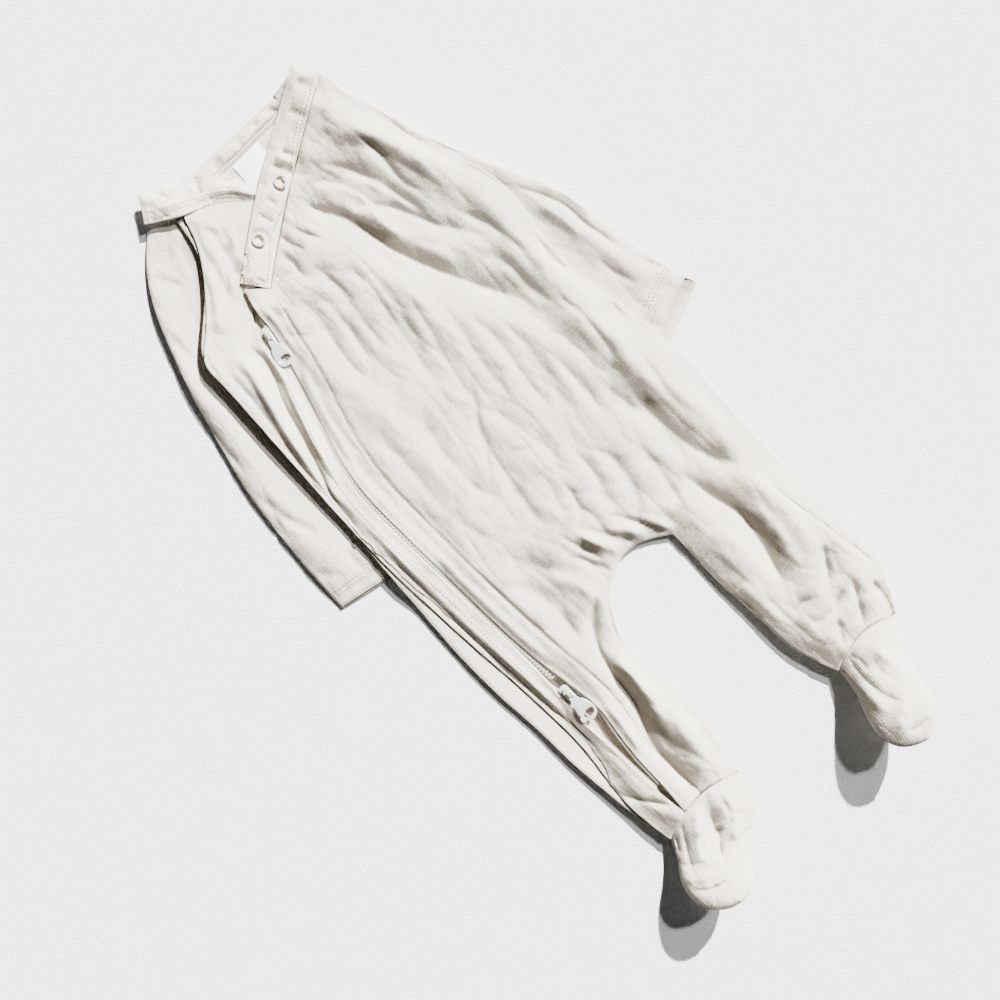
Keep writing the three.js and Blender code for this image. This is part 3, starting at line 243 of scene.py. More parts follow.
# Creases that both fronts share, so that they move together where they lap
FRONT_FOLDS = (
    Fold(((84, 262), (100, 236), (109, 208), (115, 184), (121, 160)), 10, 2.3, 0, -0.4, 0.3),
    Fold(((66, 252), (84, 232), (92, 204), (100, 178), (108, 150)), 16, 2.2, 0, 0, 0.3),
    Fold(((44, 236), (58, 226), (66, 208), (68, 188)), 3.4, -1.8, 0.1, 0.2),
    Fold(((56, 244), (70, 226), (79, 204), (84, 182), (90, 164)), 3.8, -2.2, 0.15, 0.2),
    Fold(((86, 240), (92, 220), (90, 196), (96, 176)), 3.6, -2.0, 0.1),
    Fold(((50, 206), (62, 200), (76, 184), (86, 160), (98, 142)), 3.4, -1.6, 0.15),
    Fold(((60, 226), (66, 204), (64, 180), (72, 160)), 3.2, 1.4),
    Fold(((74, 214), (80, 192), (84, 172)), 3.0, 1.3),
    Fold(((100, 160), (108, 140), (112, 116), (110, 96)), 4.4, -2.2, 0.15, 0.2),
    Fold(((92, 132), (100, 112), (100, 90), (106, 66)), 4.0, -1.8, 0.1),
    Fold(((104, 84), (110, 60), (108, 36), (104, 12)), 4.4, -1.9, 0.1, 0.2),
    *LONG_ROLLS,
    Fold(
        (
            (37, 234), (45, 214), (51, 196), (55, 172), (62, 150), (70, 132), (80, 110), (89, 92),
            (93, 72),
        ),
        5, -2.89, 0.2, 0.3,
    ),
    Fold(((49, 222), (58, 195), (64, 172), (74, 148), (84, 126)), 6, 2.3),
    Fold(
        ((70, 250), (79, 236), (89, 222), (96, 204), (101, 185), (107, 164)),
        6.0, -1.5, 0.1, -0.2, 0.35,
    ),
    Fold(((82, 246), (97, 226), (105, 202), (110, 178)), 5, 2.07),
    Fold(((64, 240), (74, 214), (82, 186), (88, 160)), 13, -1.6),
    Fold(((70, 200), (80, 172), (93, 150), (106, 128)), 6, -1.36, 0.1),
    Fold(
        ((129, 128), (125, 110), (122, 92), (127, 76), (130, 58), (128, 40), (127, 24)),
        2.8, -2.55, 0.4,
    ),
    Fold(((119, 120), (117, 95), (120, 70), (121, 45)), 5, 1.84),
    Fold(((100, 8), (98, -15), (100, -45), (104, -60), (115, -82)), 6, -2.89, 0.15),
    Fold(((88, 24), (92, -8), (94, -36), (93, -58)), 5, -1.87),
    Fold(((118, 30), (117, 5), (114, -20), (116, -45)), 5, -1.7),
    Fold(((108, 30), (107, 0), (107, -28)), 5, 1.33),
    Fold(((2, -24), (5, -36), (9, -50), (16, -68)), 1.3, -1.9, 0.4, 0.2, 0.45),
    Fold(((12, -31), (20, -44), (28, -56), (36, -72)), 1.3, -1.9, 0.4, 0.2, 0.45),
    Fold(((30, -36), (39, -51), (47, -65), (55, -84)), 1.4, -1.9, 0.4, 0.2, 0.45),
    Fold(((2, -55), (8, -62), (12, -69)), 1.8, -2.21, 0.4),
    Fold(((22, -46), (30, -49), (38, -57)), 1.7, -1.6, 0.3, 0, 0.4),
    Fold(((-2, -44), (4, -52), (8, -62)), 1.8, -1.6, 0.3, 0, 0.4),
    Fold(((11, -36), (18, -52), (25, -66)), 3.2, 3.91),
    Fold(((26, -44), (37, -60), (43, -71)), 3.4, 3.45),
    Fold(((46, -56), (52, -68), (57, -82)), 3.0, 2.53),
    Fold(
        (
            (-50, 192), (-49, 178), (-52, 165), (-58, 152), (-62, 140), (-66, 125), (-70, 112),
            (-74, 100), (-79, 85), (-82, 58),
        ),
        2.6, -4.42, 0.4, -0.4, 0.12,
    ),
    Fold(((-57, 188), (-58, 166), (-66, 141), (-72, 118), (-77, 97)), 3.6, 2.99),
    Fold(((-44, 186), (-46, 165), (-54, 140), (-62, 115), (-69, 92)), 3.6, 2.3),
    Fold(
        (
            (-5, -73), (-20, -84), (-29, -98), (-33, -112), (-35, -125), (-37, -138), (-42, -150),
            (-46, -160), (-48, -172),
        ),
        3.0, -5.78, 0.3, 0.35, 0.14,
    ),
    Fold(((-48, -166), (-48.5, -185), (-47, -208)), 1.7, -3.06, 0.6, 0, 0.2),
    Fold(((-26, -104), (-26, -125), (-30, -148), (-36, -165)), 4.5, 3.22),
    Fold(((-50, -120), (-52, -140), (-55, -165)), 3.4, 2.3),
    Fold(((-34, -148), (-39, -168), (-33, -184), (-28, -202)), 4.5, -1.7),
    Fold(((-19, -148), (-18, -174), (-22, -198)), 3.6, -1.7),
    Fold(((-18, -114), (-15, -128), (-12.5, -142)), 1.1, -0.95, 0.6),
    Fold(((-28, -16), (-14, -44), (-3, -62)), 9, -2.21),
    Fold(((-37, -28), (-30, -60), (-34, -92)), 6, -2.04),
    Fold(((-20, -40), (-10, -60), (-8, -76)), 4, 1.33),
    Fold(((84, -53), (88, -80), (92, -100), (90, -120), (84, -140), (76, -160)), 4.6, -4.42, 0.2, 0.2),
    Fold(((98, -92), (101, -115), (97, -138), (90, -156)), 5, 2.53),
    Fold(((74, -90), (77, -115), (74, -140)), 5, 1.84),
    Fold(((62, -95), (65, -130), (67, -165), (72, -192)), 4.4, -1.87),
    Fold(
        ((119, -98), (120, -115), (124, -140), (127, -160), (129, -175), (131, -187)),
        1.3, -1.53, 0.5, 0, 0.15,
    ),
    Fold(((116, -148), (108, -160), (98, -172)), 3, -2.89, 0.3),
    Fold(((106, -176), (95, -181), (84, -182), (74, -178)), 3.6, -2.21, 0.2),
    Fold(((66, -170), (79, -166), (92, -171)), 3.6, -2.04, 0.2),
    Fold(((113, -176), (105, -190), (97, -203)), 3.2, -2.55, 0.3),
    Fold(((120, -186), (119.5, -200), (116, -214)), 3.4, -5.1, 0.3, 0, 0.15),
    Fold(((88, -187), (84, -196), (79, -203)), 3.0, -1.7, 0.2),
    Fold(((-88, -160), (-84, -170), (-79, -179), (-73, -187), (-65, -197)), 2.4, -2.55, 0.4, 0, 0.15),
    Fold(((-64.5, -112), (-69, -122), (-68, -132), (-65, -141)), 1.9, -2.72, 0.4),
    Fold(((-78, -102), (-75, -124), (-73, -146)), 3.6, -2.38),
    Fold(((-8, 198), (-6, 170), (-12, 140), (-16, 108)), 5, -1.53),
    Fold(((2, 192), (4, 165), (0, 140), (-4, 112)), 4, -1.33),
    Fold(((12, 205), (16, 180), (12, 150), (10, 118)), 4.4, -1.33, 0.1),
    Fold(((24, 198), (30, 166), (26, 140), (20, 110), (16, 84)), 4.4, -1.36, 0.1),
    Fold(((38, 182), (36, 150), (28, 120), (22, 95)), 4.6, -1.36),
    Fold(((44, 152), (38, 120), (30, 90), (24, 60)), 3.6, -1.14, 0.15),
    Fold(((50, 142), (52, 110), (46, 80), (42, 50)), 4.6, -1.33),
    Fold(((60, 116), (62, 85), (58, 55), (54, 20)), 4.6, -1.36, 0.1),
    Fold(((72, 92), (72, 60), (66, 30), (62, 0)), 5.4, -1.36),
    Fold(((84, 62), (80, 30), (78, 0)), 4.6, -1.33),
    Fold(((22, 72), (12, 42), (6, 10), (2, -22)), 4.6, -1.36, 0.1),
    Fold(((30, 60), (34, 30), (38, 0)), 3.6, -1.14),
    Fold(((0, 92), (-10, 60), (-12, 30), (-8, 0)), 5.4, -1.53),
    Fold(((-28, 112), (-32, 70), (-34, 30), (-32, -10)), 5.6, -1.14),
    Fold(((-46, 60), (-45, 20), (-44, -20)), 4.6, -0.95),
    Fold(((10, 44), (22, 60), (36, 80)), 2.6, -1.14, 0.3),
    Fold(((-4, 20), (8, 37), (19, 46)), 2.2, -0.95, 0.3),
    Fold(((16, 31), (30, 20), (45, 24)), 2.6, -0.85, 0.3),
    Fold(((6, -32), (1, -5), (8, 22)), 4.6, -1.14),
    Fold(((48, 6), (46, -20), (39, -45)), 4.6, -1.53, 0.1),
    Fold(((62, -8), (60, -36), (52, -57)), 4.6, -1.53, 0.1),
    Fold(((78, -20), (76, -50), (68, -82)), 5.4, -1.7),
    Fold(((30, -8), (26, -24), (20, -38)), 3.6, -1.14),
    Fold(((-36, 239), (-24, 238), (-9, 242)), 2.2, -1.14, 0.2),
    Fold(((-54, 198), (-45, 199.5), (-35, 199)), 1.3, -0.95, 0.5),
    Fold(((-60, 204), (-45, 213), (-30, 217)), 4.4, -1.33),
    Fold(((-22, 233), (-34, 223), (-49, 213)), 3.6, -1.36, 0.1),
    Fold(((-20, 262), (-14, 252), (-4, 247)), 3.6, -0.95),
    Fold(((12, 226), (14, 215), (18, 204)), 2.4, -1.7, 0.2),
    Fold(((22, 223), (25, 212), (31, 202)), 2.2, -1.36, 0.2),
    Fold(((4, 219), (6, 206), (5, 192)), 2.6, -1.33),
    Fold(((36, 229), (44, 211), (53, 199)), 3.0, -2.21, 0.2),
    Fold(((88, 262), (80, 253), (76, 240)), 4, -1.53),
    Fold(((58, 246), (60, 232), (66, 216)), 3.4, -1.36, 0.1),
    Fold(((-20, 219), (-17, 212), (-13, 205)), 2.2, -1.36, 0.2),
)

# The line that is stitched along the left front's edge beside the zip
FLAP_LINE = (
    (-16, 196), (-22, 175), (-25, 160), (-29, 145), (-33, 132), (-37, 120), (-44, 94),
    (-48, 60), (-48.5, 0), (-47, -60), (-43, -105), (-43, -128), (-48, -165), (-48, -200),
)

# The rolled edge of the left front beside the zip
FLAP_FOLDS = (
    Fold(
        (
            (-25, 210), (-30, 182), (-37, 158), (-45, 135), (-53, 105), (-59.5, 78), (-60, 30),
            (-59.5, -30), (-57, -85),
        ),
        3.4, 2.0, 0, 0, 0.06,
    ),
    Fold(FLAP_LINE, 1.5, -1.1, 0.5, 0, 0.04),
    Fold(((-50, -10), (-47.5, -40), (-46, -75)), 2.2, -0.9, 0.2),
)

RIGHT_FRONT_FOLDS = (
    Fold(((-42, 192), (-43, 176), (-48, 158), (-56, 136), (-64, 112), (-70, 88)), 3.0, 2.4, 0, 0.2, 0.15),
    Fold(((-58, 196), (-60, 176), (-66, 152), (-72, 128), (-77, 100), (-79, 70)), 3.2, 2.6, 0, 0.2, 0.15),
    Fold(((-70, 190), (-71, 166), (-75, 136), (-79, 106)), 2.4, -1.8, 0.3, 0, 0.2),
    Fold(((-36, 246), (-38, 230), (-48, 214), (-60, 204)), 3.4, 1.6, 0, 0, 0.2),
    Fold(((-26, 254), (-30, 238), (-34, 226), (-38, 212)), 2.4, -1.4, 0.2),
    Fold(((-14, 262), (-18, 244), (-22, 230), (-28, 214)), 3.2, -1.2, 0.1),
    Fold(((-6, 250), (-12, 236), (-18, 222)), 2.8, 1.2),
    Fold(((-74, 60), (-76, 20), (-76, -30), (-74, -80), (-72, -120)), 3.0, 1.8, 0, 0, 0.15),
    Fold(((-80, 40), (-80, -10), (-79, -60), (-77, -110)), 1.8, -1.2, 0.2, 0, 0.2),
    Fold(((88, 262), (101, 236), (109, 208), (115, 184), (121, 160)), 7, 4.6, 0, -0.6, 0.2),
    Fold(((80, 256), (94, 230), (100, 204), (106, 178), (112, 150)), 15, 3.0, 0, 0, 0.3),
    *LONG_ROLLS,
    Fold(((-78.3, 190), (-79.5, 150), (-81.5, 110), (-84, 70), (-85.5, 30)), 1.4, 0.8, 0, 0, 0.08),
    Fold(((-75.2, 188), (-76.5, 150), (-78.5, 110), (-81, 76)), 1.1, -0.9, 0.3, 0, 0.1),
    Fold(((-72, 60), (-75, 20), (-75, -20), (-73, -60)), 3.0, -0.5),
)

# The back lies on the table, so its creases press in nothing; they only paint shade: into the neck
# opening around the label and along the underlap band, and along a thin line at the right leg's edge.
BACK_FOLDS = (
    Fold(((10, 268), (30, 260), (50, 266)), 10, -3.4),
    Fold(((-30, 279), (-12, 271), (2, 264), (12, 256)), 5, -2.0),
    Fold(((-89.5, -20), (-91, -60), (-90, -92), (-88.5, -112)), 1.0, -0.5, 0.5, 0, 0.15),
    Fold(((-90, -128), (-87, -150), (-85, -172)), 2.0, 0.7),
    Fold(((0, 268), (4, 250), (2, 225)), 5, -0.5),
    Fold(((56, 272), (50, 262), (52, 250)), 4, -0.4),
    Fold(((10, 120), (30, 40), (20, -20)), 10, 0.6),
    Fold(((70, 160), (80, 80), (76, 10)), 10, 0.6),
    Fold(((-40, 120), (-30, 50), (-36, -30)), 10, 0.6),
)

SLEEVE_RIGHT_FOLDS = (
    # The first two mostly paint shade, as a tube is pressed in 0.3 mm at most: into the gap under the
    # right chest's raised raglan edge, and as the shadow that the body's raised side casts on the sleeve.
    Fold(
        ((-29, 268), (-33, 254), (-40, 240), (-49, 228), (-60, 215), (-72, 205), (-78, 196)),
        4.2, -5.0, 0.2, 0, 0.1,
    ),
    Fold(((-79, 190), (-80, 160), (-82, 130), (-84, 100)), 3.0, -3.0, 0.2, 0, 0.2),
    Fold(
        ((-52, 274), (-72, 244), (-90, 205), (-97, 165), (-104, 120), (-109, 70), (-110, 36)),
        12, 2.85, 0, 0, 0.12,
    ),
    Fold(((-121, 92), (-115, 95.5), (-106, 93)), 2.0, -2.1, 0.3),
    Fold(((-120, 61), (-114, 52), (-106, 46)), 2.8, -1.65, 0.2),
    Fold(((-98, 192), (-104, 162), (-108, 128)), 3.2, -1.5, 0.1),
    Fold(((-84, 238), (-80, 216), (-88, 190)), 3.4, -1.2),
    Fold(((-112, 122), (-108, 96), (-100, 70)), 3.4, -1.5, 0.1),
    Fold(((-62, 264), (-58, 252), (-50, 244)), 3.0, -1.05),
    Fold(((-96, 60), (-98, 46), (-94, 32)), 3.0, -1.05),
    Fold(((-123.5, 40.5), (-110, 38.5), (-92, 36), (-80, 33)), 1.0, -0.75, 0.4, 0, 0.02),
)

SLEEVE_LEFT_FOLDS = (
    Fold(((178, 33), (166, 31), (152, 26), (138, 20)), 4.0, 2.4, 0, 0, 0.1),
    # These two mostly paint shade into the mouth of the cuff, as a tube is pressed in 0.3 mm at most.
    Fold(((178, 26.5), (163, 25), (150, 20.5), (138, 16)), 1.3, -5.0, 0, 0, 0.1),
    Fold(((180, 26), (173, 21), (166, 22)), 2.2, -6.0, 0, 0, 0.3),
    Fold(
        ((106, 256), (117, 214), (130, 180), (141, 146), (150, 110), (152, 70), (155, 34)),
        9, 2.55, 0, 0, 0.12,
    ),
    Fold(((134, 146), (143, 132), (151, 112), (152, 95), (155, 80), (158, 58)), 2.8, -2.85, 0.3, 0.3),
    Fold(((147, 140), (157, 116), (160, 92)), 2.4, 1.35),
    Fold(((138, 128), (144, 108), (145, 86)), 3.0, 1.35),
    Fold(((142, 78), (144, 60), (150, 44)), 2.8, -1.5, 0.2),
    Fold(((120, 206), (124, 190), (132, 174)), 3.0, -1.35),
    Fold(((108, 244), (112, 226), (112, 210)), 3.0, -1.05),
    Fold(((162, 60), (164, 48), (170, 38)), 2.4, -1.2, 0.2),
    Fold(((174, 36.5), (163, 35), (150, 31), (138, 27)), 1.0, -0.75, 0.4, 0, 0.02),
)

FOOT_LEFT_FOLDS = (
    Fold(((62, -204), (66, -218), (68, -232), (66, -246)), 3.2, 2.0, 0, 0, 0.2),
    Fold(((78, -206), (74, -220), (74, -236), (80, -250)), 3.0, -2.0, 0.2, 0, 0.2),
    Fold(((92, -208), (92, -222), (96, -236)), 3.0, 1.6),
    Fold(((60, -262), (70, -252), (81, -244), (92, -239)), 4.4, 1.95),
    Fold(((59, -244), (66, -226), (71, -216)), 3.8, -2.4, 0.15),
    Fold(((86, -216), (84, -228), (88, -240)), 3.4, -1.5),
    Fold(((100, -216), (98, -228), (92, -236)), 3.0, -1.35, 0.1),
    Fold(((66, -257), (74, -262), (84, -261)), 2.6, -1.2, 0.1),
    Fold(((76, -206), (80, -214), (78, -224)), 2.4, -1.35, 0.2),
)

FOOT_RIGHT_FOLDS = (
    Fold(
        ((-41, -202), (-44, -208), (-50, -219), (-56, -227), (-61, -233), (-67, -239)),
        2.5, -5.6, 0.3, 0.2, 0.12,
    ),
    Fold(((-54, -204), (-61, -215), (-68, -225), (-76, -236)), 4.0, 3.0, 0, 0, 0.2),
    Fold(((-35, -211), (-40, -222), (-46, -231), (-54, -240)), 3.6, 3.2, 0, 0, 0.2),
    Fold(((-47, -215), (-42, -224), (-37, -232)), 1.8, -3.0, 0.3, 0, 0.2),
    Fold(((-49, -238), (-44, -240), (-39, -242)), 1.6, -2.0, 0.3, 0, 0.2),
    Fold(((-66, -204), (-72, -214), (-80, -226), (-86, -236)), 2.6, -2.2, 0.2, 0, 0.2),
    Fold(((-76, -206), (-78, -214), (-84, -222)), 2.0, -2.2, 0.3, 0, 0.2),
    Fold(((-92, -238), (-82, -245), (-70, -248)), 2.0, -1.6, 0.3, 0, 0.2),
    Fold(((-93, -231), (-84, -236), (-74, -240)), 2.2, 1.2),
    Fold(((-88, -225), (-80, -230), (-72, -233)), 1.8, -1.1, 0.2, 0, 0.2)
)

SOLE_FOLDS = (
    Fold(((-80, -216), (-60, -221), (-34, -217)), 3.0, -1.12, 0.1),
    Fold(((-84, -226), (-66, -232), (-46, -232)), 3.0, -0.98),
    Fold(((70, -218), (90, -222), (108, -218)), 3.0, -1.12, 0.1),
    Fold(((66, -232), (82, -236), (100, -232)), 3.0, -0.98),
    Fold(((80, -214), (84, -240), (78, -262)), 6.0, -0.84),
    Fold(((-60, -214), (-68, -236), (-76, -252)), 6.0, -0.84),
)

BAND_BACK_FOLDS = (
    Fold(((-3, 276), (-1, 283), (1, 290)), 2.0, -1.9, 0.2),
    Fold(((16, 277), (17, 284), (18, 291)), 2.4, -2.09, 0.2),
    Fold(((49, 282), (52, 287), (55, 291)), 2.0, -1.52, 0.2),
    Fold(((61, 289), (64, 284), (67, 279)), 2.0, -1.52, 0.2),
    Fold(((-28, 283), (-24, 292), (-20, 299)), 3.0, -1.52),
    Fold(((34, 279), (36, 285), (35, 291)), 3.0, -0.76),
    Fold(((-25, 279.5), (0, 279), (25, 279), (50, 279), (80, 279.4)), 1.6, -0.66, 0.2, 0, 0.02),
)

BAND_UNDER_FOLDS = (
    Fold(((-5, 274), (-2, 282), (0, 289)), 2.2, -1.33, 0.2),
    Fold(((-22, 284), (-19, 290), (-18, 297)), 2.6, -1.33, 0.1),
    Fold(((8, 266), (12, 271), (18, 274)), 2.4, -0.95),
    Fold(((-36, 289), (-20, 279.5), (-5, 272.5), (6, 266.5), (14, 258)), 1.4, -0.66, 0.2, 0, 0.04),
)

BAND_OVER_FOLDS = (
    Fold(((39, 258), (42.5, 250), (46.5, 241)), 2.4, -2.28, 0.3, 0.3, 0.2),
    Fold(((49, 260), (51, 256), (54, 251)), 1.8, -1.71, 0.2),
    Fold(((46, 262), (49, 252), (53, 245)), 2.4, 1.33),
    Fold(((-17, 216), (-15, 211), (-13, 206)), 1.8, -0.9, 0.2),
    Fold(((12, 243), (14, 236), (15, 230)), 2.0, -0.95, 0.1),
    Fold(((70, 275), (74, 268), (76, 261)), 2.6, -1.14, 0.1),
    Fold(((22, 247), (24, 241), (25, 235)), 2.4, -0.76),
    Fold(((86, 284), (89, 278), (92, 273)), 2.4, -0.95),
)


class Layer(Enum):
    """How a piece of cloth lies, which decides what its folds may move."""

    PANEL = "a panel that lies on others"
    TUBE = "a flat tube, of which only the upper side moves"
    CUP = "half of a foot, which stands free"


@dataclass(frozen=True)
class Hardware:
    """A hard piece near which the cloth keeps its solid's form.

    Attributes:
        path: the line that the piece lies along.
        reach: millimetres from the line at which folds are back at full depth.
    """

    path: Path
    reach: float


HARDWARE = (
    Hardware(((-35.5, 191), (-37, 178), (-38.5, 160)), 9.0),
    Hardware(((-61.9, -97), (-61.2, -110), (-60.2, -128)), 9.0),
    Hardware(((36.6, 246.3), (36.8, 246.3)), 8.5),
    Hardware(((1.7, 230), (1.9, 230)), 8.5),
)


class Surfaces:
    """The cloth laid down so far, which later pieces rest on."""

    def __init__(self) -> None:
        """Starts with a bare table."""
        self.trees: dict[str, BVHTree] = {}

    def add(self, name: str, mesh: bpy.types.Mesh) -> None:
        """Keeps a piece's surface.

        Args:
            name: the piece's name.
            mesh: its mesh, in the frame.
        """
        corners = [v.co.copy() for v in mesh.vertices]
        self.trees[name] = BVHTree.FromPolygons(corners, [tuple(p.vertices) for p in mesh.polygons])

    def top(self, name: str, x: float, y: float) -> tuple[Vector, Vector] | None:
        """Finds a piece's highest point over a place.

        Args:
            name: the piece's name.
            x: the place, in the frame's metres.
            y: the place, in the frame's metres.

        Returns:
            The point and the surface's direction there, or None where the piece isn't.
        """
        point, normal, _, _ = self.trees[name].ray_cast(Vector((x, y, ABOVE)), DOWN)
        return None if point is None else (point, normal)

    def heights(self, names: tuple[str, ...], points: np.ndarray) -> np.ndarray:
        """Finds how high the pieces under a new one come.

        Args:
            names: the pieces under it.
            points: places in the frame's metres, one row each.

        Returns:
            The height of the highest of them at each place, or 0 for the table.
        """
        highest = np.zeros(len(points))
        for name in names:
            tree = self.trees[name]
            for i, (x, y) in enumerate(points[:, :2]):
                hit = tree.ray_cast(Vector((x, y, ABOVE)), DOWN)[0]
                if hit is not None and hit.z > highest[i]:
                    highest[i] = hit.z
        return highest


def finish_object(
    name: str, mesh: bpy.types.Mesh, body: str, material: bpy.types.Material
) -> bpy.types.Object:
    """Makes a mesh an object of the suit.

    Args:
        name: the piece's name.
        mesh: its mesh, in the frame.
        body: the body that it moves with.
        material: what it is made of.

    Returns:
        The object, at the origin.
    """
    made = bpy.data.objects.new(name, mesh)
    bpy.context.scene.collection.objects.link(made)
    mesh.materials.clear()
    mesh.materials.append(material)
    mesh.shade_smooth()
    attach(made, body)
    return made


@dataclass
class ClothPiece:
    """One cut piece of cloth, refined from its solid and creased.

    Attributes:
        name: the piece's name.
        node: the solid that it stands for.
        material: its finish.
        slot: the record's material slot; not used.
        flat: width and length that it was cut to, in metres; not used.
        area: its flat area in square metres; not used.
        folds: its creases.
        lies_on: the pieces under it.
        levels: how many times it is subdivided.
        thick: the cloth's thickness in millimetres.
        ripple: millimetres of small unevenness.
        layer: how it lies.
        rim_longest: longest edge that can be part of a rim, in metres.
        puff: millimetres by which its middle stands higher than the solid.
        shoulder: millimetres from a rim at which the puff is full.
        rim_segments: steps that its rims are rounded in.
        clearance: millimetres that it keeps from the pieces under it.
        grow: millimetres by which its rims grow to close a seam.
        grow_at_ankle: the same at the ankle seams.
        made: the finished object.
    """

    name: str
    node: str
    material: bpy.types.Material
    slot: str
    flat: tuple[float, float]
    area: float
    folds: tuple[Fold, ...]
    lies_on: tuple[str, ...] = ()
    levels: int = 3
    thick: float = 1.6
    ripple: float = 0.3
    layer: Layer = Layer.PANEL
    rim_longest: float = 1.0
    puff: float = 0.0
    shoulder: float = 18.0
    rim_segments: int = 3
    clearance: float = 0.15
    grow: float = 0.15
    grow_at_ankle: float = 0.42
    made: bpy.types.Object | None = field(default=None, init=False)

    def refined(self) -> bpy.types.Mesh:
        """Subdivides a copy of the solid, and marks its rims."""
        form = bmesh.new()
        form.from_mesh(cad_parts[self.node].data)
        bmesh.ops.remove_doubles(form, verts=form.verts, dist=SAME_CORNER)
        crease = form.edges.layers.float.new("crease_edge")
        rim = form.verts.layers.float.new("rim")
        for edge in form.edges:
            sharp = len(edge.link_faces) == 2 and edge.calc_face_angle(0.0) > RIM_ANGLE
            if sharp and edge.calc_length() < self.rim_longest:
                edge[crease] = 1.0
                for corner in edge.verts:
                    corner[rim] = 1.0
        bmesh.ops.join_triangles(
            form, faces=form.faces, angle_face_threshold=PAIR_ANGLE, angle_shape_threshold=math.pi
        )
        coarse = bpy.data.meshes.new(f"{self.name}_coarse")
        form.to_mesh(coarse)
        form.free()
        holder = bpy.data.objects.new(f"{self.name}_holder", coarse)
        bpy.context.scene.collection.objects.link(holder)
        finer = holder.modifiers.new("finer", "SUBSURF")
        finer.levels = finer.render_levels = self.levels
        graph = bpy.context.evaluated_depsgraph_get()
        mesh = bpy.data.meshes.new_from_object(holder.evaluated_get(graph))
        bpy.data.objects.remove(holder)
        bpy.data.meshes.remove(coarse)
        mesh.name = self.name
        return mesh

    def lifts(self, points: np.ndarray, inset: np.ndarray) -> tuple[np.ndarray, np.ndarray]:
        """Gives the height that folds, crumpling and puff add.

        Args:
            points: places in chest millimetres, one row each.
            inset: each place's distance from the nearest rim, in millimetres.

        Returns:
            Millimetres at each place, and how much of that is creases.
        """
        creased = lift_of(self.folds, points[:, :2])
        if self.ripple:
            creased += self.ripple * np.array([crumple(x, y) for x, y in points[:, :2]])
        creased = np.where(creased > 0, creased * ease(0.15 + 2 * inset / self.shoulder), creased)
        calm = np.ones(len(points))
        for hard in HARDWARE:
            distance, _ = beside(points[:, :2], np.array(hard.path, float))
            calm *= ease((np.abs(distance) - 0.5 * hard.reach) / (0.5 * hard.reach))
        creased *= calm
        return creased + self.puff * ease(inset / self.shoulder) * calm, creased

    def inset(self, mesh: bpy.types.Mesh, places: np.ndarray) -> tuple[np.ndarray, np.ndarray]:
        """Measures how far each point is from the piece's rims.

        Args:
            mesh: the refined mesh.
            places: its points.

        Returns:
            Millimetres to the nearest rim, and which points are on one.
        """
        marks = np.zeros(len(places), np.float32)
        mesh.attributes["rim"].data.foreach_get("value", marks)
        on_rim = marks > 0.999
        tree = KDTree(int(on_rim.sum()) or 1)
        for i, place in enumerate(places[on_rim]):
            tree.insert(place, i)
        tree.balance()
        return np.array([tree.find(place)[2] for place in places]) / MM, on_rim

    def close_gaps(self, places: np.ndarray, normals: np.ndarray, on_rim: np.ndarray) -> None:
        """Grows the rims until they meet their neighbours at the seams.

        Args:
            places: the points, which are changed.
            normals: their directions.
            on_rim: which of them are on a rim.
        """
        level = normals.copy()
        level[:, 2] = 0
        length = np.hypot(level[:, 0], level[:, 1])
        moved = on_rim & (length > SIDEWAYS)
        at_ankle = ease((ANKLE_SEAM - (places[:, 1] / MM + MIDDLE[1])) / 10.0)
        reach = self.grow + (self.grow_at_ankle - self.grow) * at_ankle
        places[moved] += (level[moved] / length[moved, None]) * reach[moved, None] * MM

    def shape(self, mesh: bpy.types.Mesh, surfaces: Surfaces) -> None:
        """Moves the mesh to its creased form, clear of what it lies on.

        Args:
            mesh: the refined mesh, which is changed.
            surfaces: the cloth laid down so far.
        """
        flat = np.zeros(len(mesh.vertices) * 3, np.float32)
        mesh.vertices.foreach_get("co", flat)
        places = flat.reshape(-1, 3).astype(float)
        mesh.vertex_normals.foreach_get("vector", flat)
        normals = flat.reshape(-1, 3).astype(float)
        inset, on_rim = self.inset(mesh, places)
        inner = self.inward(places, normals, on_rim)
        faces = [tuple(p.vertices) for p in mesh.polygons]
        own = BVHTree.FromPolygons([Vector(p) for p in places], faces)
        self.close_gaps(places, normals, on_rim)
        lifted, creased = self.lifts(inner / MM + np.array([MIDDLE[0], MIDDLE[1], 0.0]), inset)
        if self.layer is Layer.CUP:
            lifted *= ease(inset / 5)
            lowest = np.minimum(places[:, 2], self.thick * MM)
            places[:, 2] = np.maximum(places[:, 2] + lifted * MM, lowest)
        elif self.layer is Layer.TUBE:
            tall = float(np.percentile(places[:, 2], 97)) / MM
            high = ease((places[:, 2] / MM - 0.45 * tall) / 0.8)
            # A tube's creases press in 0.3 mm at most; the rest of their depth shows only as painted
            # shade.
            lifted = np.where(lifted < 0, np.maximum(lifted, -0.3), lifted) * high
            places[:, 2] += lifted * MM
        else:
            under = surfaces.heights(self.lies_on, inner)
            room = (self.underside(own, inner) - under) / MM - self.clearance
            free = np.maximum(room, 1e-3)
            settled = np.where(room < 1.2, np.maximum(room, 0.0), 0.0) * (1 - ease(inset / 7))
            # Creases press in only as far as there is room; the painted shade still takes their full
            # depth.
            lifted = np.where(lifted < 0, -free * (1 - np.exp(np.minimum(lifted, 0) / free)), lifted)
            lifted = np.maximum(lifted - settled, -free)
            if self.lies_on:
                lifted += np.maximum(-room, 0.0)
            places[:, 2] += lifted * MM
        mesh.vertices.foreach_set("co", places.astype(np.float32).ravel())
        mesh.update()
        self.store_painted_shade(mesh, creased)

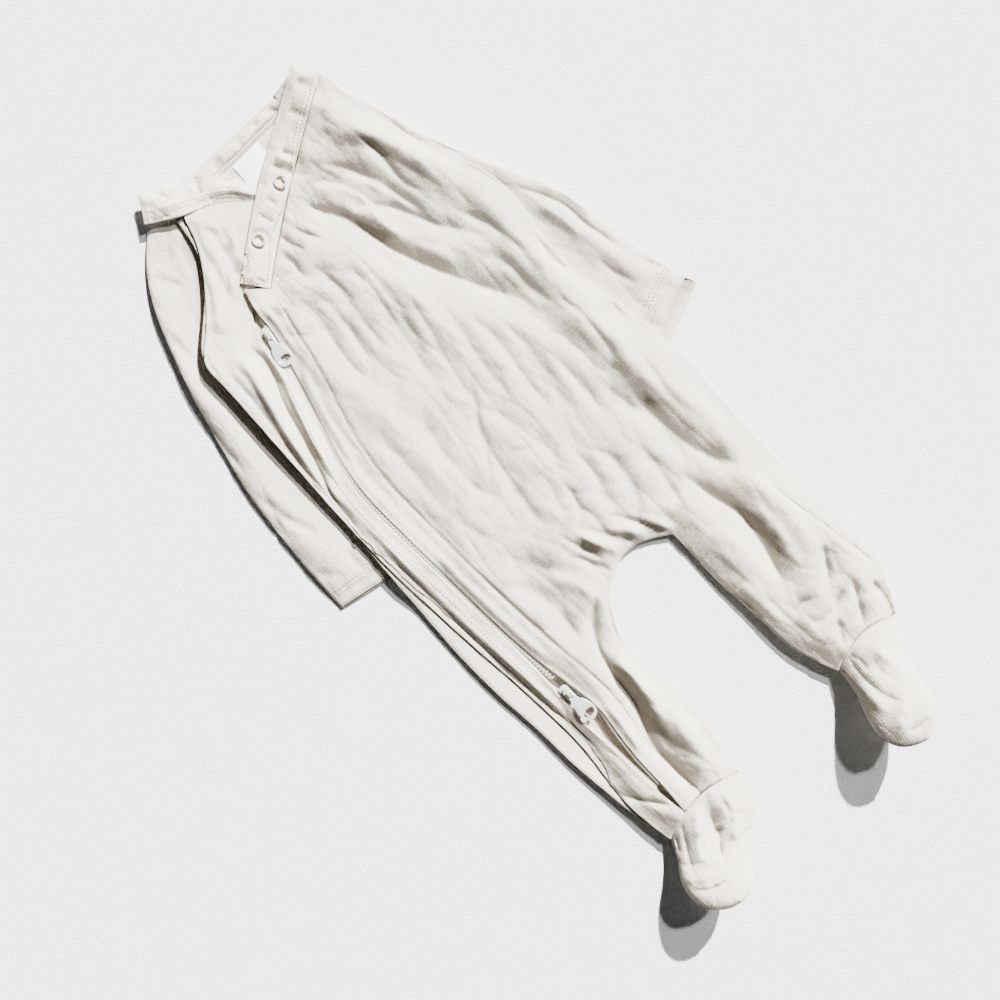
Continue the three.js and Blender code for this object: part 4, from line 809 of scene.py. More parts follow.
    @staticmethod
    def inward(places: np.ndarray, normals: np.ndarray, on_rim: np.ndarray) -> np.ndarray:
        """Gives for each point the place that its height is worked out at, just inside the rims.

        Args:
            places: the points.
            normals: their directions.
            on_rim: which of them are on a rim.

        Returns:
            The places.
        """
        level = normals.copy()
        level[:, 2] = 0
        length = np.hypot(level[:, 0], level[:, 1])
        moved = on_rim & (length > SIDEWAYS)
        inner = places.copy()
        inner[moved] -= level[moved] / length[moved, None] * INSIDE_RIM * MM
        return inner

    @staticmethod
    def underside(own: BVHTree, inner: np.ndarray) -> np.ndarray:
        """Finds the height of the piece's own underside at each place.

        Args:
            own: the piece's surface.
            inner: places over it.

        Returns:
            Heights in metres.
        """
        heights = np.zeros(len(inner))
        for i, (x, y, z) in enumerate(inner):
            found = own.ray_cast(Vector((x, y, -0.01)), UP)[0]
            heights[i] = found.z if found is not None else z
        return heights

    @staticmethod
    def store_painted_shade(mesh: bpy.types.Mesh, creased: np.ndarray) -> None:
        """Stores painted shade: darker where a point is pressed into a fold, and on slopes that face away
        from the key light.

        Args:
            mesh: the creased mesh.
            creased: millimetres that creases moved each point.
        """
        # Painted shade in the creases, from their full depth, even where the cloth could not move that
        # far
        crease_shade = mesh.attributes.new("crease_shade", "FLOAT", "POINT")
        crease_shade.data.foreach_set("value", np.clip(-creased / DARKEST_DEPTH, 0, 1).astype(np.float32))
        flat = np.zeros(len(creased) * 3, np.float32)
        mesh.vertex_normals.foreach_get("vector", flat)
        normals = flat.reshape(-1, 3)
        # Painted shade on slopes that face away from the key light
        facing = -(normals[:, 0] * KEY_LIGHT_WAY[0] + normals[:, 1] * KEY_LIGHT_WAY[1])
        nap_and_slope_shade = mesh.attributes.new("nap_and_slope_shade", "FLOAT", "POINT")
        nap_and_slope_shade.data.foreach_set("value", np.clip(facing / DARKEST_SLOPE, -1, 1).astype(np.float32))

    def soften_rims(self, mesh: bpy.types.Mesh) -> None:
        """Rounds the cut edges of the cloth."""
        form = bmesh.new()
        form.from_mesh(mesh)
        sharp = [
            e for e in form.edges if len(e.link_faces) == 2 and e.calc_face_angle(0.0) > CUT_ANGLE
        ]
        bmesh.ops.bevel(
            form, geom=sharp, offset=0.4 * self.thick * MM, offset_type="OFFSET", affect="EDGES",
            segments=self.rim_segments, profile=0.5, material=-1, clamp_overlap=True,
        )
        form.to_mesh(mesh)
        form.free()

    def build(self, surfaces: Surfaces) -> bpy.types.Object:
        """Makes the piece.

        Args:
            surfaces: the cloth laid down so far, which the piece joins.

        Returns:
            The piece.
        """
        mesh = self.refined()
        self.shape(mesh, surfaces)
        self.soften_rims(mesh)
        self.made = finish_object(self.name, mesh, "suit", self.material)
        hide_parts(self.node)
        surfaces.add(self.name, mesh)
        cloth_area = sum(p.area for p in mesh.polygons) / 2
        LOG.info("%s: %d faces, cloth %.4f m2", self.name, len(mesh.polygons), cloth_area)
        return self.made


@dataclass(frozen=True)
class StitchRow:
    """A row of thread stitches.

    Attributes:
        path: the line that it follows.
        on: the pieces that it may lie on, the topmost first.
        pitch: millimetres from one stitch to the next.
        length: millimetres of thread that show.
    """

    path: Path
    on: tuple[str, ...]
    pitch: float = 2.7
    length: float = 1.9


NECK_STITCHES = (
    StitchRow(
        ((-24, 280.2), (0, 280.4), (25, 280.4), (50, 280.3), (66, 280.5)),
        ("neckband_back_cloth",), 2.2, 1.5,
    ),
    StitchRow(
        ((-22, 278), (0, 278.2), (25, 278.2), (50, 278.2), (68, 278.4)),
        ("neckband_back_cloth",), 2.2, 1.5,
    ),
    StitchRow(
        ((-35, 291), (-20, 282.5), (-5, 275.8), (6, 269.5), (13.5, 262), (18, 254)),
        ("neckband_underlap_cloth",), 2.2, 1.5,
    ),
    StitchRow(
        ((-35.5, 288), (-21, 279.6), (-6.5, 273), (4, 267), (11, 260), (15, 253)),
        ("neckband_underlap_cloth",), 2.2, 1.5,
    ),
    StitchRow(
        (
            (-12, 209.5), (-2, 217), (8, 226.5), (22, 232.6), (40, 240.8), (50, 246.5), (62, 256.6),
            (86, 270.5), (97, 276.5),
        ),
        ("neckband_overlap_cloth",), 2.4, 1.6,
    ),
    StitchRow(((48, 248), (60, 257.8), (72, 265.4), (88, 274)), ("neckband_overlap_cloth",), 2.4, 1.6),
    StitchRow(((-22, 215.5), (-14.5, 208.2)), ("neckband_overlap_cloth",), 2.2, 1.6),
)

PANEL_STITCHES = (
    StitchRow(FLAP_LINE, ("front_left_cloth",)),
    StitchRow(
        (
            (-44.5, 180), (-48, 160), (-55, 136), (-66, 105), (-73, 75), (-73.5, 20), (-72.5, -40),
            (-72, -80),
        ),
        ("front_right_cloth",),
    ),
)

SLEEVE_STITCHES = (
    StitchRow(((-122.5, 40.5), (-110, 39), (-97, 36.6)), ("sleeve_right_cloth",)),
    StitchRow(((-122.5, 43.5), (-110, 42), (-97, 39.6)), ("sleeve_right_cloth",)),
    StitchRow(((172.5, 38), (163, 36.6), (150, 32.6), (140, 28.4)), ("sleeve_left_cloth",)),
    StitchRow(((172.5, 41), (163, 39.6), (150, 35.6), (140, 31.4)), ("sleeve_left_cloth",)),
)


@dataclass
class Stitching:
    """Rows of stitches made as one piece, each stitch a short round-ended thread.

    Attributes:
        name: the piece's name.
        rows: its rows.
        material: the thread's finish.
        slot: the record's material slot; not used.
        thread: half of the thread's width, in millimetres.
    """

    name: str
    rows: tuple[StitchRow, ...]
    material: bpy.types.Material
    slot: str = "cloth"
    thread: float = 0.40

    def along(self, row: StitchRow) -> list[tuple[np.ndarray, np.ndarray]]:
        """Spaces a row's stitches.

        Args:
            row: the row.

        Returns:
            The start and the end of each stitch, in chest millimetres.
        """
        line = smooth_line(row.path)
        gone = np.concatenate([[0], np.cumsum(np.hypot(*np.diff(line, axis=0).T))])

        def at(distance: float) -> np.ndarray:
            """Finds the point of the line at a distance from its start."""
            return np.array([np.interp(distance, gone, line[:, k]) for k in (0, 1)])

        starts = np.arange(0.0, gone[-1] - row.length, row.pitch)
        return [(at(s), at(s + row.length)) for s in starts]

    def on_cloth(self, row: StitchRow, point: np.ndarray, surfaces: Surfaces) -> Vector | None:
        """Finds the place on the cloth over a point.

        Args:
            row: the row that the point is in.
            point: the point, in chest millimetres.
            surfaces: the cloth.

        Returns:
            The place, or None where the cloth isn't.
        """
        place = spot(*point)
        for name in row.on:
            found = surfaces.top(name, place.x, place.y)
            if found and found[1].z > 0.35:
                return found[0]
        return None

    def build(self, surfaces: Surfaces) -> bpy.types.Object:
        """Lays every stitch on the cloth.

        Args:
            surfaces: the cloth.

        Returns:
            The stitches as one piece.
        """
        form = bmesh.new()
        for row in self.rows:
            for start, end in self.along(row):
                a, b = (self.on_cloth(row, p, surfaces) for p in (start, end))
                if a is None or b is None or (b - a).length > 1.6 * row.length * MM:
                    continue
                turn = (b - a).to_track_quat("X", "Z").to_matrix().to_4x4()
                size = Matrix.Diagonal((row.length * 0.5 * MM, self.thread * MM, self.thread * MM, 1))
                raise_by = Matrix.Translation((a + b) / 2 + Vector((0, 0, 0.4 * self.thread * MM)))
                matrix = raise_by @ turn @ size
                bmesh.ops.create_uvsphere(form, u_segments=6, v_segments=5, radius=1.0, matrix=matrix)
        mesh = bpy.data.meshes.new(self.name)
        form.to_mesh(mesh)
        form.free()
        made = finish_object(self.name, mesh, "suit", self.material)
        LOG.info("%s: %d faces", self.name, len(mesh.polygons))
        return made


@dataclass
class ZipCoil:
    """The nylon coil of the zip: closed between the two sliders, and open outside them.

    Attributes:
        material: the coil's finish.
        pitch: millimetres from one tooth to the next.
        closed: the line of the closed zip.
        open_left: the left half's line below the lower slider.
        open_right: the right half's line below it.
        top_left: the left half's line above the upper slider.
        top_right: the right half's line above it.
    """

    material: bpy.types.Material
    pitch: float = 1.3
    closed: Path = (
        (-37.5, 178), (-39.6, 165), (-48.1, 135), (-58.5, 105), (-65, 75), (-65.5, 45), (-65.1, 15),
        (-64.7, -15), (-64.2, -45), (-62.7, -80), (-61.6, -97),
    )
    open_left: Path = ((-58.2, -112), (-55.2, -125), (-58.4, -145), (-60.4, -165), (-60.8, -183))
    open_right: Path = ((-65.4, -112), (-67.1, -125), (-65.6, -145), (-65.1, -165), (-64.2, -183))
    top_left: Path = ((-33.4, 190), (-32.0, 196))
    top_right: Path = ((-38.0, 190), (-37.2, 196))

    def teeth(
        self, form: bmesh.types.BMesh, path: Path, widths: tuple[float, ...], surfaces: Surfaces
    ) -> None:
        """Adds a row of teeth.

        Args:
            form: the mesh that they join.
            path: the line that they follow.
            widths: offsets of the teeth's middles, used in turn.
            surfaces: the cloth and the tapes.
        """
        line = smooth_line(path)
        gone = np.concatenate([[0], np.cumsum(np.hypot(*np.diff(line, axis=0).T))])
        for i, distance in enumerate(np.arange(0.4, gone[-1], self.pitch)):
            x, y = (np.interp(distance, gone, line[:, k]) for k in (0, 1))
            ahead = [np.interp(distance + 0.5, gone, line[:, k]) for k in (0, 1)]
            across = Vector((-(ahead[1] - y), ahead[0] - x, 0)).normalized()
            base = spot(x, y) + across * widths[i % len(widths)] * MM
            tops = []
            for name in ("zip_tape_left", "zip_tape_right"):
                for reach in (-2.4, -1.2, 0.0, 1.2, 2.4):
                    probe = base + across * reach * MM
                    found = surfaces.top(name, probe.x, probe.y)
                    if found:
                        tops.append(found[0].z)
            if not tops:
                continue
            base.z = max(tops) + 0.30 * MM
            turn = across.to_track_quat("X", "Z").to_matrix().to_4x4()
            size = Matrix.Diagonal((1.35 * MM, 0.46 * MM, 0.42 * MM, 1))
            matrix = Matrix.Translation(base) @ turn @ size
            bmesh.ops.create_uvsphere(form, u_segments=8, v_segments=6, radius=1.0, matrix=matrix)

    def build(self, surfaces: Surfaces) -> bpy.types.Object:
        """Makes the coil as one piece.

        Args:
            surfaces: the cloth and the tapes.

        Returns:
            The coil.
        """
        form = bmesh.new()
        self.teeth(form, self.closed, (-0.55, 0.55), surfaces)
        for path in (self.open_left, self.open_right, self.top_left, self.top_right):
            self.teeth(form, path, (0.0,), surfaces)
        mesh = bpy.data.meshes.new("zip_coil")
        form.to_mesh(mesh)
        form.free()
        made = finish_object("zip_coil", mesh, "suit", self.material)
        LOG.info("zip_coil: %d faces", len(mesh.polygons))
        return made


@dataclass
class SolidCopy:
    """A hard or small piece whose solid has the right shape, welded and with softened edges.

    Attributes:
        name: the piece's name.
        node: the solid that it stands for.
        body: the body that it moves with.
        material: its finish.
        slot: the record's material slot; not used.
        soften: millimetres by which its edges are rounded.
        angle: degrees over which an edge is rounded.
    """

    name: str
    node: str
    body: str
    material: bpy.types.Material
    slot: str
    soften: float = 0.14
    angle: float = 32.0

    def build(self, surfaces: Surfaces) -> bpy.types.Object:
        """Makes the piece.

        Args:
            surfaces: the pieces laid down so far, which it joins.

        Returns:
            The piece.
        """
        form = bmesh.new()
        form.from_mesh(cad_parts[self.node].data)
        bmesh.ops.remove_doubles(form, verts=form.verts, dist=SAME_CORNER)
        bmesh.ops.dissolve_limit(form, angle_limit=math.radians(1.0), verts=form.verts, edges=form.edges)
        sharp = [
            e for e in form.edges
            if len(e.link_faces) == 2 and e.calc_face_angle(0.0) > math.radians(self.angle)
        ]
        if self.soften:
            bmesh.ops.bevel(
                form, geom=sharp, offset=self.soften * MM, offset_type="OFFSET", affect="EDGES",
                segments=3, profile=0.5, material=-1, clamp_overlap=True,
            )
        mesh = bpy.data.meshes.new(self.name)
        form.to_mesh(mesh)
        form.free()
        surfaces.add(self.name, mesh)
        made = finish_object(self.name, mesh, self.body, self.material)
        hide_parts(self.node)
        LOG.info("%s: %d faces", self.name, len(mesh.polygons))
        return made


class Wiring:
    """Puts nodes into a material or a group, and joins them."""

    def __init__(self, tree: bpy.types.NodeTree) -> None:
        """Starts on a node tree."""
        self.tree = tree

    def add(
        self, kind: str, values: dict[str | int, object] | None = None, **settings: object
    ) -> bpy.types.Node:
        """Adds a node.

        Args:
            kind: the node's type.
            values: what goes into its sockets, a value or another node's socket.
            settings: the node's own settings.

        Returns:
            The node.
        """
        node = self.tree.nodes.new(kind)
        for name, value in settings.items():
            setattr(node, name, value)
        for name, value in (values or {}).items():
            if isinstance(value, bpy.types.NodeSocket):
                self.tree.links.new(value, node.inputs[name])
            else:
                node.inputs[name].default_value = value
        return node

    def maths(self, operation: str, a: object, b: object = 0.0, c: object = 0.0) -> bpy.types.NodeSocket:
        """Adds a sum and gives its result."""
        return self.add("ShaderNodeMath", {0: a, 1: b, 2: c}, operation=operation).outputs[0]

    def mix(self, share: object, a: object, b: object) -> bpy.types.NodeSocket:
        """Mixes two colours and gives the result."""
        return self.add("ShaderNodeMix", {0: share, 6: a, 7: b}, data_type="RGBA").outputs[2]


def new_group(
    name: str, inputs: dict[str, tuple[str, object]], outputs: dict[str, str]
) -> bpy.types.NodeTree:
    """Makes an empty node group.

    Args:
        name: the group's name.
        inputs: each input's type and what it is if nothing is joined to it.
        outputs: each output's type.

    Returns:
        The group.
    """
    group = bpy.data.node_groups.new(name, "ShaderNodeTree")
    for key, (kind, value) in inputs.items():
        socket = group.interface.new_socket(name=key, in_out="INPUT", socket_type=kind)
        if value is not None:
            socket.default_value = value
    for key, kind in outputs.items():
        group.interface.new_socket(name=key, in_out="OUTPUT", socket_type=kind)
    return group


def knit_group() -> bpy.types.NodeTree:
    """Makes the pattern of a fine jersey: columns of small V-shaped loops, with a soft nap.

    Returns:
        The group, which gives a height, a mask of the loops, an uneven tone and a fine grain.
    """
    group = new_group(
        "fine_knit",
        {
            "Vector": ("NodeSocketVector", None),
            "Columns": ("NodeSocketFloat", 1150.0),
            "Rows": ("NodeSocketFloat", 1500.0),
            "Nap": ("NodeSocketFloat", 2.6),
        },
        {key: "NodeSocketFloat" for key in ("Height", "Loops", "Tone", "Fuzz")},
    )
    w = Wiring(group)
    given = w.add("NodeGroupInput")
    bent = w.add("ShaderNodeTexNoise", {"Vector": given.outputs["Vector"], "Scale": 90.0, "Detail": 2.0})
    centred = {0: bent.outputs["Color"], 1: (0.5, 0.5, 0.5)}
    shift = w.add("ShaderNodeVectorMath", centred, operation="SUBTRACT")
    small = w.add("ShaderNodeVectorMath", {0: shift.outputs[0], 3: 0.0009}, operation="SCALE")
    both = {0: given.outputs["Vector"], 1: small.outputs[0]}
    moved = w.add("ShaderNodeVectorMath", both, operation="ADD")
    parts = w.add("ShaderNodeSeparateXYZ", {0: moved.outputs[0]})
    column = w.maths("FRACT", w.maths("MULTIPLY", parts.outputs[0], given.outputs["Columns"]))
    middle = w.maths("MULTIPLY", w.maths("ABSOLUTE", w.maths("SUBTRACT", column, 0.5)), 2.0)
    dome = w.maths("SUBTRACT", 1.0, w.maths("POWER", middle, 2.0))
    tips = w.maths("MULTIPLY", middle, 0.6)
    row = w.maths("ADD", w.maths("MULTIPLY", parts.outputs[1], given.outputs["Rows"]), tips)
    wave = w.maths("MULTIPLY_ADD", w.maths("SINE", w.maths("MULTIPLY", row, math.tau)), 0.3, 0.7)
    loops = w.maths("MULTIPLY", dome, wave)
    place = given.outputs["Vector"]
    nap_and_slope_shade = w.add(
        "ShaderNodeTexNoise", {"Vector": place, "Scale": 620.0, "Detail": 5.0, "Roughness": 0.75}
    )
    fuzz = w.maths("MULTIPLY", nap_and_slope_shade.outputs[0], given.outputs["Nap"])
    tone = w.add(
        "ShaderNodeTexNoise", {"Vector": place, "Scale": 30.0, "Detail": 9.0, "Roughness": 0.78}
    )
    out = w.add("NodeGroupOutput")
    group.links.new(w.maths("ADD", loops, fuzz), out.inputs["Height"])
    group.links.new(loops, out.inputs["Loops"])
    group.links.new(tone.outputs[0], out.inputs["Tone"])
    group.links.new(nap_and_slope_shade.outputs[0], out.inputs["Fuzz"])
    return group


def weave_group() -> bpy.types.NodeTree:
    """Makes a plain weave of crossing threads.

    Returns:
        The group, which gives a height and an uneven tone.
    """
    group = new_group(
        "plain_weave",
        {"Vector": ("NodeSocketVector", None), "Threads": ("NodeSocketFloat", 1800.0)},
        {"Height": "NodeSocketFloat", "Tone": "NodeSocketFloat"},
    )
    w = Wiring(group)
    given = w.add("NodeGroupInput")
    parts = w.add("ShaderNodeSeparateXYZ", {0: given.outputs["Vector"]})
    waves = []
    for axis in (0, 1):
        count = w.maths("MULTIPLY", parts.outputs[axis], given.outputs["Threads"])
        waves.append(w.maths("SINE", w.maths("MULTIPLY", count, math.pi)))
    crossed = w.maths("MULTIPLY", waves[0], waves[1])
    height = w.maths("ABSOLUTE", crossed)
    tone = w.add("ShaderNodeTexNoise", {"Vector": given.outputs["Vector"], "Scale": 140.0, "Detail": 4.0})
    out = w.add("NodeGroupOutput")
    group.links.new(height, out.inputs["Height"])
    group.links.new(tone.outputs[0], out.inputs["Tone"])
    return group


Colour = tuple[float, float, float, float]


@dataclass(frozen=True)
class KnitFinish:
    """Undyed cotton jersey.

    Attributes:
        name: the material's name.
        lit: the cloth's colour.
        deep: its dark colour, for its uneven tone and grain, between the loops, and as shade painted in
            folds and on slopes away from the key light.
        turn: degrees that the columns are turned from the suit's length.
        tilt: degrees that they are tipped, as on a foot that stands up.
        columns: loops across a metre.
        bump: strength of the relief.
    """

    name: str
    lit: Colour = (0.83, 0.76, 0.65, 1)
    deep: Colour = (0.185, 0.16, 0.125, 1)
    turn: float = 0.0
    tilt: float = 0.0
    columns: float = 780.0
    bump: float = 0.9

    def make(self, knit: bpy.types.NodeTree) -> bpy.types.Material:
        """Makes the material.

        Args:
            knit: the knit's node group.

        Returns:
            The material.
        """
        made = bpy.data.materials.new(self.name)
        made.use_nodes = True
        w = Wiring(made.node_tree)
        shader = made.node_tree.nodes["Principled BSDF"]
        place = w.add("ShaderNodeTexCoord").outputs["Object"]
        turned = w.add(
            "ShaderNodeMapping",
            {"Vector": place, "Rotation": (math.radians(self.tilt), 0.0, math.radians(self.turn))},
        )
        pattern = w.add("ShaderNodeGroup", {}, node_tree=knit)
        made.node_tree.links.new(turned.outputs[0], pattern.inputs["Vector"])
        pattern.inputs["Columns"].default_value = self.columns
        pattern.inputs["Rows"].default_value = self.columns * 1.3
        # Painted shade: darker in the creases and on slopes that face away from the key light
        crease_shade = w.add("ShaderNodeAttribute", {}, attribute_name="crease_shade").outputs["Fac"]
        nap_and_slope_shade = w.add("ShaderNodeAttribute", {}, attribute_name="nap_and_slope_shade").outputs["Fac"]
        spread = w.maths("MULTIPLY_ADD", pattern.outputs["Tone"], 0.5, -0.19)
        between = w.maths("MULTIPLY", w.maths("SUBTRACT", 1.0, pattern.outputs["Loops"]), 0.08)
        # The painted shade, added to the share of the dark colour
        shade_share = w.maths("ADD", w.maths("MULTIPLY", crease_shade, 0.5), w.maths("MULTIPLY", nap_and_slope_shade, 0.9))
        speckle = w.maths("MULTIPLY_ADD", pattern.outputs["Fuzz"], 1.3, -0.65)
        share = w.maths("ADD", w.maths("ADD", w.maths("ADD", spread, speckle), between), shade_share)
        colour = w.mix(w.add("ShaderNodeClamp", {0: share}).outputs[0], self.lit, self.deep)
        made.node_tree.links.new(colour, shader.inputs["Base Color"])
        relief = {"Strength": self.bump, "Distance": 0.0006, "Height": pattern.outputs["Height"]}
        bump = w.add("ShaderNodeBump", relief)
        made.node_tree.links.new(bump.outputs[0], shader.inputs["Normal"])
        shader.inputs["Roughness"].default_value = 0.93
        shader.inputs["Specular IOR Level"].default_value = 0.25
        shader.inputs["Sheen Weight"].default_value = 0.18
        shader.inputs["Sheen Roughness"].default_value = 0.55
        return made


@dataclass(frozen=True)
class WovenFinish:
    """Woven tape, label or thread.

    Attributes:
        name: the material's name.
        light: the threads' colour.
        dark: the colour between them.
        threads: threads across a metre.
        roughness: how dull it is.
        bump: strength of the relief.
    """

    name: str
    light: Colour
    dark: Colour
    threads: float = 1800.0
    roughness: float = 0.8
    bump: float = 0.3

    def make(self, weave: bpy.types.NodeTree) -> bpy.types.Material:
        """Makes the material.

        Args:
            weave: the weave's node group.

        Returns:
            The material.
        """
        made = bpy.data.materials.new(self.name)
        made.use_nodes = True
        w = Wiring(made.node_tree)
        shader = made.node_tree.nodes["Principled BSDF"]
        place = w.add("ShaderNodeTexCoord").outputs["Object"]
        pattern = w.add("ShaderNodeGroup", {}, node_tree=weave)
        made.node_tree.links.new(place, pattern.inputs["Vector"])
        pattern.inputs["Threads"].default_value = self.threads
        uneven = w.maths("MULTIPLY", pattern.outputs["Tone"], 0.4)
        share = w.maths("MULTIPLY_ADD", pattern.outputs["Height"], 0.6, uneven)
        made.node_tree.links.new(w.mix(share, self.dark, self.light), shader.inputs["Base Color"])
        relief = {"Strength": self.bump, "Distance": 0.00015, "Height": pattern.outputs["Height"]}
        bump = w.add("ShaderNodeBump", relief)
        made.node_tree.links.new(bump.outputs[0], shader.inputs["Normal"])
        shader.inputs["Roughness"].default_value = self.roughness
        shader.inputs["Sheen Weight"].default_value = 0.1
        return made


@dataclass(frozen=True)
class MetalFinish:
    """Cast metal of the sliders and snaps, lacquered and lightly rubbed.

    Attributes:
        name: the material's name.
        bright: the metal's colour.
        rubbed: its colour where it is rubbed.
        metallic: how much of it is bare metal.
        roughness: how dull it is.
    """

    name: str
    bright: Colour
    rubbed: Colour
    metallic: float = 0.85
    roughness: float = 0.28

    def make(self) -> bpy.types.Material:
        """Makes the material."""
        made = bpy.data.materials.new(self.name)
        made.use_nodes = True
        w = Wiring(made.node_tree)
        shader = made.node_tree.nodes["Principled BSDF"]
        place = w.add("ShaderNodeTexCoord").outputs["Object"]
        cloudy = w.add(
            "ShaderNodeTexNoise", {"Vector": place, "Scale": 420.0, "Detail": 5.0, "Roughness": 0.6}
        )
        fine = w.add("ShaderNodeTexNoise", {"Vector": place, "Scale": 2600.0, "Detail": 2.0})
        colour = w.mix(cloudy.outputs[0], self.bright, self.rubbed)
        made.node_tree.links.new(colour, shader.inputs["Base Color"])
        dull = w.maths("MULTIPLY_ADD", cloudy.outputs[0], 0.22, self.roughness - 0.1)
        made.node_tree.links.new(dull, shader.inputs["Roughness"])
        bump = w.add("ShaderNodeBump", {"Strength": 0.08, "Distance": 0.0001, "Height": fine.outputs[0]})
        made.node_tree.links.new(bump.outputs[0], shader.inputs["Normal"])
        shader.inputs["Metallic"].default_value = self.metallic
        return made


@dataclass
class Finishes:
    """Every material of the suit, made once.

    Attributes:
        weave: the node group of the woven ones.
        cloth: the panels' jersey.
        sleeve_left: jersey with its columns along the left sleeve.
        sleeve_right: jersey with its columns along the right sleeve.
        foot: jersey with its columns along the feet.
        band: the neckband's knit at the back and under the lap.
        band_over: the same along the slanting stretch in front.
        tape: the zip's tapes.
        coil: the zip's nylon teeth.
        label: the label at the neck.
        thread: every stitch.
        metal: the sliders and their pulls.
        snap: the ring snaps.
    """

    weave: bpy.types.NodeTree
    cloth: bpy.types.Material = field(init=False)
    sleeve_left: bpy.types.Material = field(init=False)
    sleeve_right: bpy.types.Material = field(init=False)
    foot: bpy.types.Material = field(init=False)
    band: bpy.types.Material = field(init=False)
    band_over: bpy.types.Material = field(init=False)
    tape: bpy.types.Material = field(init=False)
    coil: bpy.types.Material = field(init=False)
    label: bpy.types.Material = field(init=False)
    thread: bpy.types.Material = field(init=False)
    metal: bpy.types.Material = field(init=False)
    snap: bpy.types.Material = field(init=False)

    def __post_init__(self) -> None:
        """Makes the knit's node group and the materials."""
        knit, weave = knit_group(), self.weave
        self.cloth = KnitFinish("jersey").make(knit)
        self.sleeve_left = KnitFinish("jersey_left_sleeve", turn=-16).make(knit)
        self.sleeve_right = KnitFinish("jersey_right_sleeve", turn=14).make(knit)
        self.foot = KnitFinish("jersey_foot", tilt=-38, turn=20).make(knit)
        self.band = KnitFinish("band_knit", turn=90, columns=1000, bump=0.7).make(knit)
        self.band_over = KnitFinish("band_knit_front", turn=58, columns=1000, bump=0.7).make(knit)
        self.tape = WovenFinish(
            "zip_tape", (0.80, 0.75, 0.66, 1), (0.55, 0.47, 0.36, 1), threads=1500
        ).make(weave)
        self.coil = WovenFinish(
            "nylon_coil", (0.82, 0.79, 0.72, 1), (0.70, 0.66, 0.58, 1), 300, roughness=0.42, bump=0.05
        ).make(weave)
        self.label = WovenFinish(
            "label", (0.93, 0.93, 0.93, 1), (0.86, 0.86, 0.86, 1), 2600, roughness=0.55, bump=0.12
        ).make(weave)
        self.thread = WovenFinish(
            "thread", (0.36, 0.29, 0.21, 1), (0.22, 0.17, 0.12, 1), 3600, roughness=0.75, bump=0.3
        ).make(weave)
        self.metal = MetalFinish(
            "slider_lacquer", (0.80, 0.80, 0.80, 1), (0.58, 0.58, 0.575, 1), metallic=0.4, roughness=0.26
        ).make()
        self.snap = MetalFinish(
            "snap_lacquer", (0.62, 0.58, 0.51, 1), (0.50, 0.46, 0.40, 1), metallic=0.1, roughness=0.32
        ).make()


